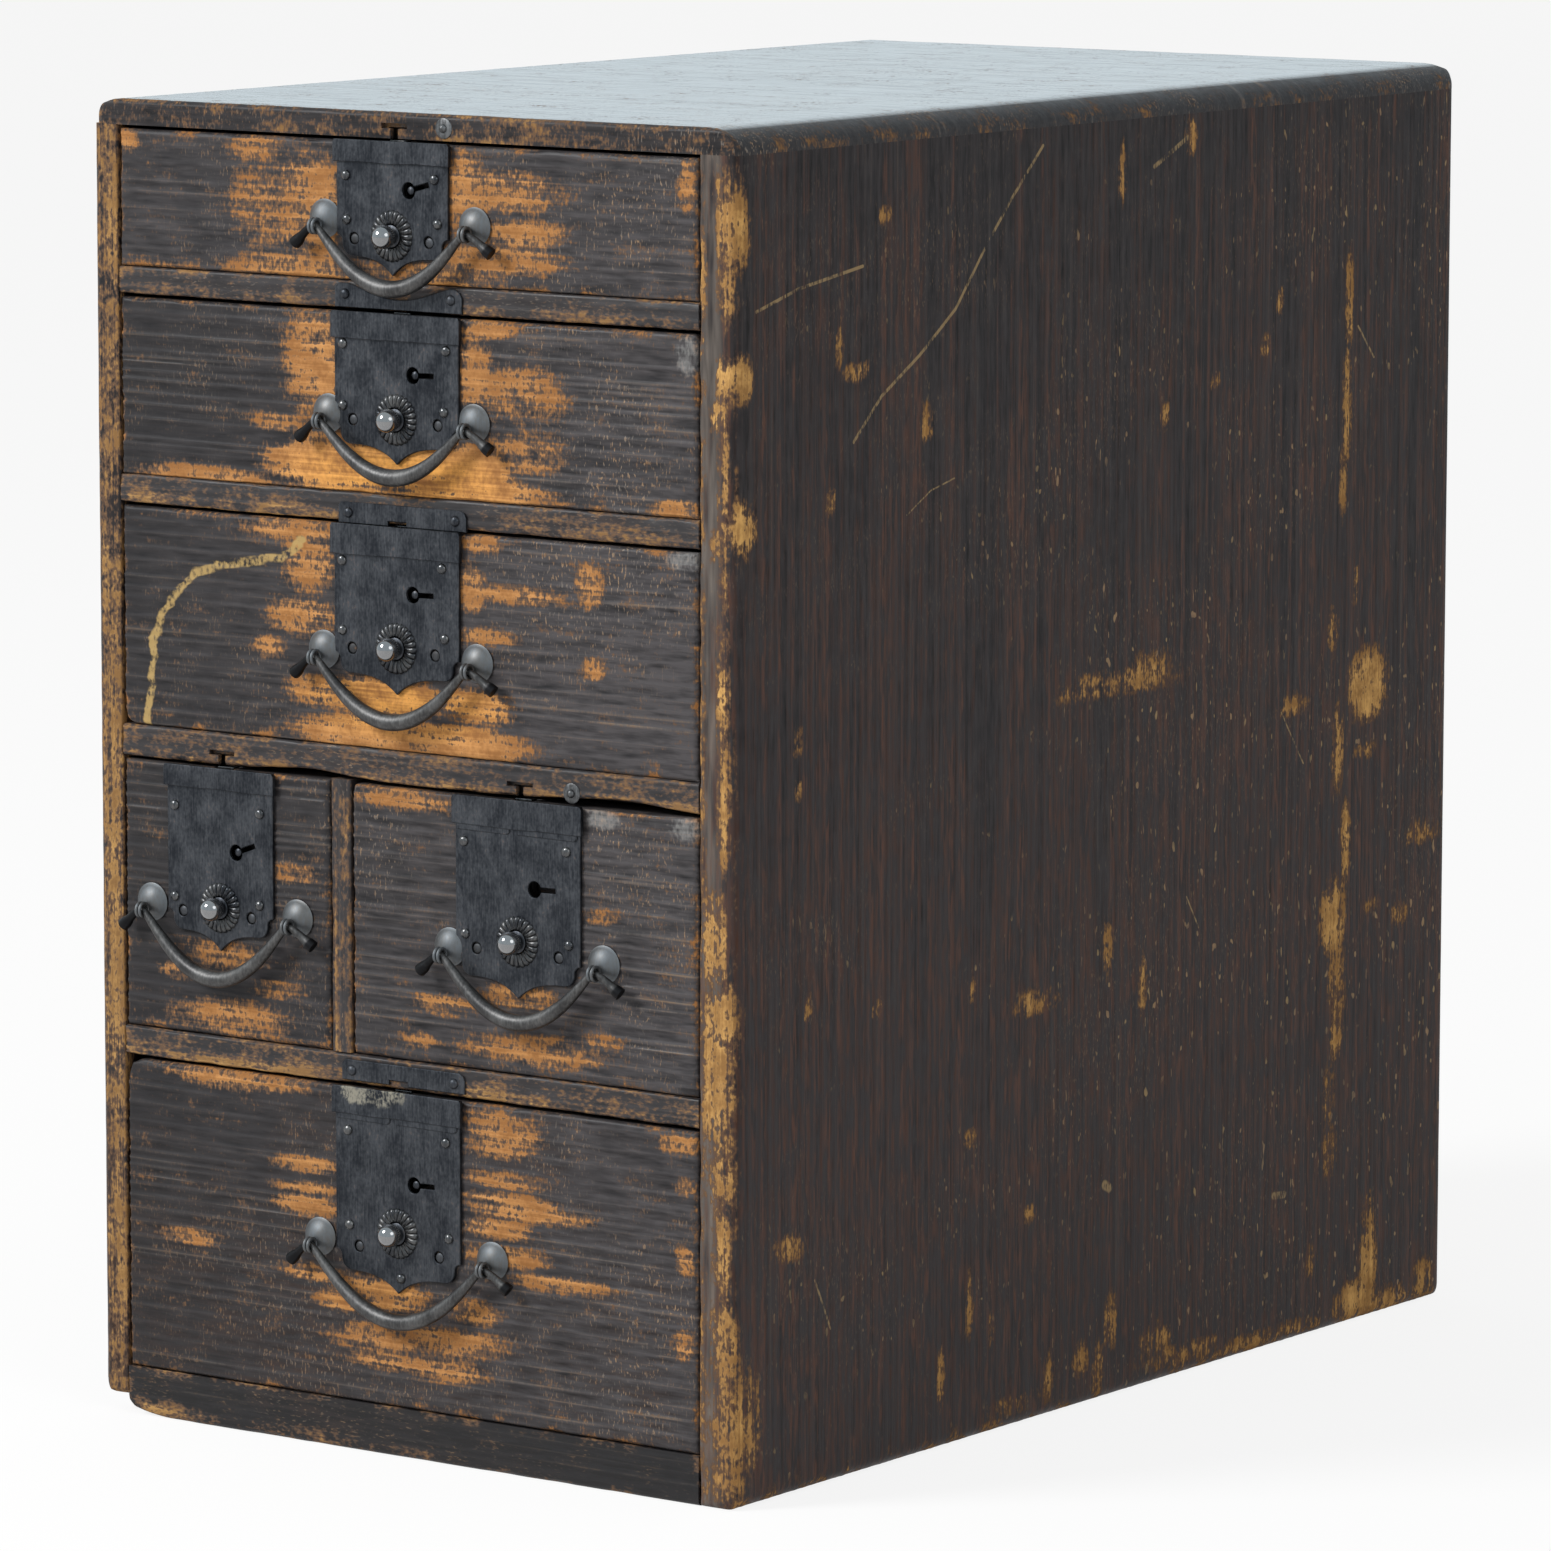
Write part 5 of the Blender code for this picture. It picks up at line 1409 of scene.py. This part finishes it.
class TANSU_OT_lock_plates(IronMaker, bpy.types.Operator):
    """Make the lock plates and the folded bands along their tops"""

    bl_idname = "tansu.lock_plates"
    bl_label = "Lock plates"

    def make(self, look):
        finish = iron_finish(look, "plate")
        for number, lock in LOCKS.items():
            holes = [keyhole(lock), circle((lock.x, lock.knob_z), KNOB_R + BOLT_RUN, 28, True)]
            holes += [circle(pin, PIN_HOLE_R, 16, True) for pin in on_plate(lock, PINS[number])]
            plate = sheet_iron([plate_outline(lock)] + holes, lock.skin, FACE - FIT)
            add_iron(f"{lock.name}_plate", plate, finish, lock.body, f"{lock.name}_lock_plate", crease=SHEET_CREASE)
            band_finish = finish
            if number == DUSTY:
                dust = on_plate(lock, DUST_RUN)
                band_finish = old_iron("dusty band iron", look.black, look.black_rubbed, 0.5, look=look, dust=dust)
            add_iron(f"{lock.name}_plate_band", self.band(lock, number), band_finish, lock.body, crease=SHEET_CREASE)

    def band(self, lock, number):
        """A strip folded over the plate's top, with a lower edge that is not quite straight."""
        half, low, ease, fold = lock.half + BAND_LIP, lock.top - lock.band, 0.6 * MM, 0.4 * MM
        steps = np.linspace(-half, half, 24)
        sway = 0.5 * MM * (cloud(steps / (11 * MM), steps * 0, 200 + number) - 0.5)
        outline = [(lock.x + x, low + dz) for x, dz in zip(steps, sway)]
        outline += [(lock.x + half, lock.top - ease), (lock.x + half - ease, lock.top + fold)]
        outline += [(lock.x - half + ease, lock.top + fold), (lock.x - half, lock.top - ease)]
        parts = [sheet_iron([np.array(outline)], lock.skin - BAND_T, lock.skin + 0.5 * PLATE_T)]
        if number in LIPPED:
            for start, end in ((-lock.half + 1 * MM, -3 * MM), (0, lock.half - 1 * MM)):
                lip = [(start, low - 1.9 * MM), (end - 1 * MM, low - 2.1 * MM), (end, low - 1.2 * MM)]
                lip += [(end, low + 1 * MM), (start, low + 1 * MM)]
                outline = np.array([(lock.x + x, z) for x, z in lip])
                parts.append(sheet_iron([outline], lock.skin - 0.55 * MM, lock.skin + 0.3 * MM))
        return gathered(parts)


class TANSU_OT_rosettes(IronMaker, bpy.types.Operator):
    """Make the petalled rosettes round the lock buttons"""

    bl_idname = "tansu.rosettes"
    bl_label = "Rosettes"

    def make(self, look):
        finish = kept("rosette iron", old_iron, look.black, look.grey_rubbed, 0.34)
        for lock in LOCKS.values():
            add_iron(f"{lock.name}_rosette", self.rosette(lock, look.petals), finish, lock.body)

    def rosette(self, lock, petals):
        """Rings from the hole to the scalloped rim, raised in petals, with a flat underside."""
        columns = 10 * petals
        turn = np.linspace(0, 2 * math.pi, columns, endpoint=False)
        crest = np.abs(np.cos(petals * turn / 2)) ** 0.55
        hole = KNOB_R + BOLT_RUN
        rings = []
        for share, rise, cut in PETAL_RINGS:
            radius = hole + share * (ROSETTE_R - hole) * (1 - 0.10 * share ** 3 * (1 - crest))
            rings.append((radius, lock.skin - ROSETTE_H * rise * (1 - cut * (1 - crest))))
        under = np.full(columns, lock.skin + 0.3 * MM)
        rings += [(rings[-1][0], under), (np.full(columns, hole), under)]
        points, faces = [], []
        for ring, (radius, y) in enumerate(rings):
            points += zip(lock.x + radius * np.cos(turn), y, lock.knob_z + radius * np.sin(turn))
            start, after = ring * columns, (ring + 1) % len(rings) * columns
            for k in range(columns):
                nxt = (k + 1) % columns
                faces.append((start + k, after + k, after + nxt, start + nxt))
        return points, faces


class TANSU_OT_lock_buttons(IronMaker, bpy.types.Operator):
    """Make the ball-headed buttons of the locks"""

    bl_idname = "tansu.lock_buttons"
    bl_label = "Lock buttons"

    def make(self, look):
        level = -BALL_STAND
        collar = [(0, level + 1.0 * MM), (STEM_R, level + 1.0 * MM), (COLLAR_R - 0.2 * MM, level + 0.85 * MM)]
        collar += [(COLLAR_R, level + 0.7 * MM), (COLLAR_R, level + 0.55 * MM), (0, level + 0.55 * MM)]
        turns = np.linspace(0, math.pi - math.asin(STEM_R / BALL_R), 18)
        ball = [(BALL_R * math.sin(turn), BALL_R * math.cos(turn)) for turn in turns]
        for number, lock in LOCKS.items():
            body, middle = f"button_{number}", (lock.x, lock.skin - BALL_STAND, lock.knob_z)
            tail = lock.skin - BALL_STAND - lock.stem_end
            stem = [(STEM_R, tail + STEM_R), (0.3 * MM, tail), (0, tail)]
            add_iron(f"{lock.name}_knob_collar", turned(collar, middle, 28), iron_finish(look, "plate"), body)
            add_iron(f"{lock.name}_knob", turned(ball + stem, middle, 32), iron_finish(look, "knob"), body,
                     f"{lock.name}_lock_button")


class TANSU_OT_lock_bolts(IronMaker, bpy.types.Operator):
    """Finish the bolts that rise behind the lock plates"""

    bl_idname = "tansu.lock_bolts"
    bl_label = "Lock bolts"

    def make(self, look):
        for lock in LOCKS.values():
            bolt = frame["nodes"][f"{lock.name}_lock_bolt"]
            bolt.data.materials.clear()
            bolt.data.materials.append(iron_finish(look, "nail"))
            bolt.modifiers.new("one skin", "WELD").merge_threshold = 0.01 * MM
            ease = bolt.modifiers.new("eased edges", "BEVEL")
            ease.width = 0.3 * MM
            ease.segments = 2


class TANSU_OT_bails(IronMaker, bpy.types.Operator):
    """Make the drop handles"""

    bl_idname = "tansu.bails"
    bl_label = "Drop handles"

    def make(self, look):
        for number, lock in LOCKS.items():
            path, radii = self.bar(number, lock)
            x = path[:, AXIS_X]
            # The left stubs are black all along as painted shade, since they lie in shadow; the right stubs have black
            # tips only.
            shaded_left_stub = (lock.posts[0][0] - x) / (1.5 * MM)
            tip = (x - lock.posts[1][0] - STUB_LEAN.x) / (1.0 * MM) + 2.6
            soot = np.repeat(np.clip(np.maximum(shaded_left_stub, tip), 0, 1), BAR_SIDES)
            add_iron(f"{lock.name}_handle", tube(path, radii, BAR_SIDES), iron_finish(look, "handle"),
                     f"bail_{number}", f"{lock.name}_bail", marks={"soot": soot})

    def bar(self, number, lock):
        """Path and radii of a handle: flat tips, thin necks in the eyes and a thick bow."""
        half = (lock.posts[1][0] - lock.posts[0][0]) / 2
        eye = Vector((half, 0, 0))
        level = Vector((-NECK_RUN, 0, 0))
        lean = STUB_LEAN
        mirrored = Vector((-lean.x, lean.y, lean.z))
        bottom = Vector((0, 0, BOW_R - lock.bow))
        flat = Vector((-half * BOW_FULLNESS, 0, 0))
        runs = (
            (eye + lean, eye + lean * (2 / 3), eye - level, eye, STUB_R, NECK_R, 14),
            (eye, eye + level, bottom - flat, bottom, NECK_R, BOW_R, 34),
            (bottom, bottom + flat, -eye - level, -eye, BOW_R, NECK_R, 34),
            (-eye, -eye + level, mirrored * (2 / 3) - eye, mirrored - eye, NECK_R, STUB_R, 14),
        )
        path, radii = [], []
        for *corners, from_r, to_r, steps in runs:
            radius = from_r + (to_r - from_r) * smoothstep(np.linspace(0, 1, steps + 1), 0, 1)
            skip = 1 if path else 0
            path += interpolate_bezier(*corners, steps + 1)[skip:]
            radii += list(radius[skip:])
        path, radii = np.array([lock.pivot + point for point in path]), np.array(radii)
        steps = np.arange(len(path))
        uneven = 0.10 * MM * (cloud(steps / 6.0, steps * 0, 300 + number) - 0.5)
        radii = radii + uneven * smoothstep(radii, NECK_R, BOW_R)
        ends = np.minimum(steps, steps[::-1])
        return path, radii + 0.6 * MM * np.exp(-((ends / 4.0) ** 4))


class TANSU_OT_eye_posts(IronMaker, bpy.types.Operator):
    """Make the domed washers with the split pins that hold the handles"""

    bl_idname = "tansu.eye_posts"
    bl_label = "Eye posts"

    def make(self, look):
        finish = kept("dome iron", old_iron, look.grey_rubbed, look.dome, 0.54, rust=0.1, look=look)
        for lock in LOCKS.values():
            for hand, (x, z) in zip(HANDS, lock.posts):
                add_iron(f"{lock.name}_eye_{hand}", self.post(lock, x, z), finish, lock.body,
                         f"{lock.name}_post_{hand}")

    def post(self, lock, x, z):
        """A dome on a shank, two wire eyes in front of it and two legs bent over inside the drawer front."""
        ball = (DOME_R ** 2 + DOME_H ** 2) / (2 * DOME_H)
        turns = np.linspace(0, math.asin(DOME_R / ball), 12)[:-1]
        profile = [(ball * math.sin(turn), FIT + DOME_H - ball * (1 - math.cos(turn))) for turn in turns]
        inside = -FRONT_T - FIT - 0.4 * MM
        profile += [(DOME_R, FIT + 0.35 * MM), (DOME_R - 0.2 * MM, FIT), (SHANK_R, FIT), (SHANK_R, inside), (0, inside)]
        parts = [turned(profile, (x, FACE, z), 32)]
        eye = circle((lock.pivot.y, lock.pivot.z), EYE_R, 28)
        for side in (-1, 1):
            ring = [(x + side * EYE_SPREAD, *spot) for spot in eye]
            parts.append(tube(ring, np.full(len(ring), EYE_WIRE_R), 10, True))
        behind = FACE + FRONT_T + FIT + 0.7 * MM
        for sign in (-1, 1):
            leg = [(x, behind, z), (x + 0.4 * MM, behind + 0.1 * MM, z + sign * 3 * MM), (x, behind, z + sign * 6 * MM)]
            parts.append(tube(leg, (1.0 * MM, 0.8 * MM, 0.5 * MM), 8))
        return gathered(parts)


class TANSU_OT_rivets(IronMaker, bpy.types.Operator):
    """Make the rivets and the sunk pins of the lock plates"""

    bl_idname = "tansu.rivets"
    bl_label = "Rivets"

    def make(self, look):
        sunk = kept("sunk pin iron", old_iron, look.black_rubbed, look.grey, 0.55, rust=0.6, look=look)
        for number, lock in LOCKS.items():
            heads = [rivet(x, lock.skin, z, look.rivet_r) for x, z in on_plate(lock, RIVETS[number])]
            add_iron(f"{lock.name}_rivets", gathered(heads), iron_finish(look, "nail"), lock.body)
            pins = [rivet(x + 0.15 * MM, lock.skin + 0.55 * MM, z - 0.1 * MM, 1.7 * MM, 0.3)
                    for x, z in on_plate(lock, PINS[number])]
            add_iron(f"{lock.name}_sunk_pins", gathered(pins), sunk, lock.body)


class TANSU_OT_key_pins(IronMaker, bpy.types.Operator):
    """Make the pins that stand in the keyholes"""

    bl_idname = "tansu.key_pins"
    bl_label = "Key pins"

    def make(self, look):
        radius, back = 1.35 * MM, -7.0 * MM
        profile = [(0, 0), (radius * 0.7, -0.1 * MM), (radius, -0.4 * MM), (radius, back), (0, back)]
        for number, lock in LOCKS.items():
            if number != PINLESS:
                x, z = lock.key
                pin = turned(profile, (x, lock.skin + 0.9 * MM, z), 16)
                add_iron(f"{lock.name}_key_pin", pin, iron_finish(look, "plate"), lock.body)


class TANSU_OT_strikes(IronMaker, bpy.types.Operator):
    """Make the iron strikes on the rails above three of the locks"""

    bl_idname = "tansu.strikes"
    bl_label = "Strikes"

    def make(self, look):
        for number, start, end, lift, rise in STRIKES:
            lock = LOCKS[number]
            low = over(number) + lift * MM
            left, right, high = lock.x + start * MM, lock.x + end * MM, low + rise * MM
            if number == HOLLOWED:
                outline = self.hollowed(left, right, low, high)
            else:
                outline = self.notched(lock, left, right, low, high)
            parts = [sheet_iron([np.array(outline)], FACE - STRIKE_T, FACE + 0.15 * MM)]
            for x in (left + 4.4 * MM, right - 4.4 * MM):
                parts.append(rivet(x, FACE - STRIKE_T, high - 3.6 * MM, look.rivet_r))
            add_iron(f"strike_over_drawer_{number}", gathered(parts), iron_finish(look, "plate"), "carcass",
                     crease=SHEET_CREASE)

    def hollowed(self, left, right, low, high):
        """A strike that is hollowed along its top between two raised ears."""
        outline = [(left, low), (right, low), (right, high - 3 * MM), (right - 1 * MM, high - 1 * MM)]
        outline += [(right - 3 * MM, high)]
        for share in np.linspace(0, 1, 17):
            x = right - STRIKE_EAR * 0.6 + (left - right + STRIKE_EAR * 1.2) * share
            outline.append((x, high - (high - low - STRIKE_WAIST) * math.sin(math.pi * share) ** 1.2))
        return outline + [(left + 1.5 * MM, high), (left, high - 1.5 * MM)]

    def notched(self, lock, left, right, low, high):
        """A plain strike with eased corners and a notch over the bolt."""
        start, end = about(lock.x, BOLT_W / 2 + 0.5 * MM)
        notch = low + 1.6 * MM
        return [
            (left, low), (start, low), (start, notch), (end, notch), (end, low), (right, low),
            (right, high - 2.4 * MM), (right - 0.8 * MM, high - 0.8 * MM), (right - 2.4 * MM, high),
            (left + 1.2 * MM, high), (left, high - 1.2 * MM),
        ]


class TANSU_OT_washer_nails(IronMaker, bpy.types.Operator):
    """Make the two nails with round washers on the chest's face"""

    bl_idname = "tansu.washer_nails"
    bl_label = "Washer nails"

    def make(self, look):
        finish = kept("washer iron", old_iron, look.grey, look.washer, 0.42, rust=0.2, look=look)
        washer = [(0, 0.5 * MM), (2.9 * MM, 0.5 * MM), (3.4 * MM, 0.3 * MM), (3.5 * MM, 0), (0, 0)]
        for number, (x, z) in enumerate(WASHER_NAILS, 1):
            parts = [turned(washer, (x, FACE, z), 28), rivet(x, FACE - 0.5 * MM, z, 1.5 * MM, 0.9)]
            add_iron(f"washer_nail_{number}", gathered(parts), finish, "carcass")


class TANSU_OT_stage(Maker, bpy.types.Operator):
    """Set up the floor, the soft light and the camera"""

    bl_idname = "tansu.stage"
    bl_label = "Stage"
    look_name = "tansu_stage"

    def make(self, look):
        bpy.context.scene.view_settings.view_transform = "Standard"
        self.make_world(look)
        self.make_floor()
        self.make_lamp("key lamp", (-1.5, -2.3, 2.1), 1.1, look.key)
        self.make_lamp("fill lamp", (2.4, -1.2, 1.6), 1.6, look.fill)
        self.make_camera(look)

    def seen_rays(self, root, kinds):
        """1 for rays of these kinds, which see the white surround."""
        found = root.node("ShaderNodeLightPath", (), (), kinds[0])
        for kind in kinds[1:]:
            found = found.most(root.node("ShaderNodeLightPath", (), (), kind))
        return found

    def make_world(self, look):
        world = bpy.data.worlds.new("white studio")
        world.use_nodes = True
        root = Wire(world.node_tree)
        shiny = self.seen_rays(root, SHINY_RAYS).colours((look.sky, look.sky, look.sky), look.gloss)
        colour = self.seen_rays(root, CAMERA_RAYS).colours(shiny, (1, 1, 1))
        world.node_tree.links.new(colour.socket, world.node_tree.nodes["Background"].inputs["Color"])
        bpy.context.scene.world = world

    def make_floor(self):
        finish, root = begin_finish("pale floor")
        paint = root.clouds((0.4, 0.4, 0.4), 2.0).colours((0.86, 0.86, 0.86), (0.90, 0.90, 0.90))
        matt = root.node("ShaderNodeBsdfDiffuse", (), {"Color": paint})
        white = root.node("ShaderNodeEmission", (), {"Color": (1, 1, 1, 1), "Strength": 1.0})
        seen = self.seen_rays(root, CAMERA_RAYS + SHINY_RAYS) * 0.85
        mixed = root.node("ShaderNodeMixShader", (), {0: seen, 1: matt, 2: white})
        output = finish.node_tree.nodes["Material Output"]
        finish.node_tree.links.new(mixed.socket, output.inputs["Surface"])
        corners = [(x * FLOOR_REACH, y * FLOOR_REACH, 0) for x, y in ((-1, -1), (1, -1), (1, 1), (-1, 1))]
        floor = add_mesh("floor", corners, [(0, 1, 2, 3)], [finish])

    def make_lamp(self, name, where, size, power):
        lamp = bpy.data.lights.new(name, "AREA")
        lamp.shape = "DISK"
        lamp.size = size
        lamp.energy = power
        made = bpy.data.objects.new(name, lamp)
        bpy.context.scene.collection.objects.link(made)
        made.location = where
        towards = LAMP_AIM - Vector(where)
        made.rotation_euler = towards.to_track_quat("-Z", "Y").to_euler()

    def make_camera(self, look):
        camera = bpy.data.cameras.new("camera")
        camera.sensor_width = 36.0
        camera.lens = look.lens
        camera.shift_x, camera.shift_y = look.shift
        camera.clip_end = 50.0
        made = bpy.data.objects.new("camera", camera)
        bpy.context.scene.collection.objects.link(made)
        level = math.cos(look.elevation)
        back = Vector((math.sin(look.azimuth) * level, -math.cos(look.azimuth) * level, math.sin(look.elevation)))
        right = Matrix.Rotation(look.roll, 3, back) @ Vector((math.cos(look.azimuth), math.sin(look.azimuth), 0))
        basis = Matrix((right, back.cross(right), back)).transposed().to_4x4()
        made.matrix_world = Matrix.Translation(Vector(look.target) + back * look.distance) @ basis
        bpy.context.scene.camera = made


OPERATORS = (
    TANSU_OT_stage,
    TANSU_OT_top_board,
    TANSU_OT_sides,
    TANSU_OT_bottom_board,
    TANSU_OT_shelves,
    TANSU_OT_divider,
    TANSU_OT_back_panel,
    TANSU_OT_back_pegs,
    TANSU_OT_drawer_fronts,
    TANSU_OT_drawer_trays,
    TANSU_OT_lock_plates,
    TANSU_OT_rosettes,
    TANSU_OT_lock_buttons,
    TANSU_OT_lock_bolts,
    TANSU_OT_bails,
    TANSU_OT_eye_posts,
    TANSU_OT_rivets,
    TANSU_OT_key_pins,
    TANSU_OT_strikes,
    TANSU_OT_washer_nails,
)


class TANSU_PT_panel(bpy.types.Panel):
    """Everything that the chest is made of"""

    bl_idname = "TANSU_PT_panel"
    bl_label = "Tansu chest"
    bl_space_type = "VIEW_3D"
    bl_region_type = "UI"
    bl_category = "Tansu"

    def draw(self, context):
        scene = context.scene
        for look in (scene.tansu_wood, scene.tansu_iron, scene.tansu_stage):
            column = self.layout.column()
            for name in look.__annotations__:
                column.prop(look, name)
        for operator in OPERATORS:
            self.layout.operator(operator.bl_idname)


LOOKS = {"tansu_wood": WoodLook, "tansu_iron": IronLook, "tansu_stage": StageLook}


def register():
    for cls in (*LOOKS.values(), *OPERATORS, TANSU_PT_panel):
        bpy.utils.register_class(cls)
    for name, cls in LOOKS.items():
        setattr(bpy.types.Scene, name, PointerProperty(type=cls))


def unregister():
    for name in LOOKS:
        delattr(bpy.types.Scene, name)
    for cls in reversed((*LOOKS.values(), *OPERATORS, TANSU_PT_panel)):
        bpy.utils.unregister_class(cls)


def main():
    register()
    for operator in OPERATORS:
        group, name = operator.bl_idname.split(".")
        getattr(getattr(bpy.ops, group), name)()


if __name__ == "__main__":
    main()
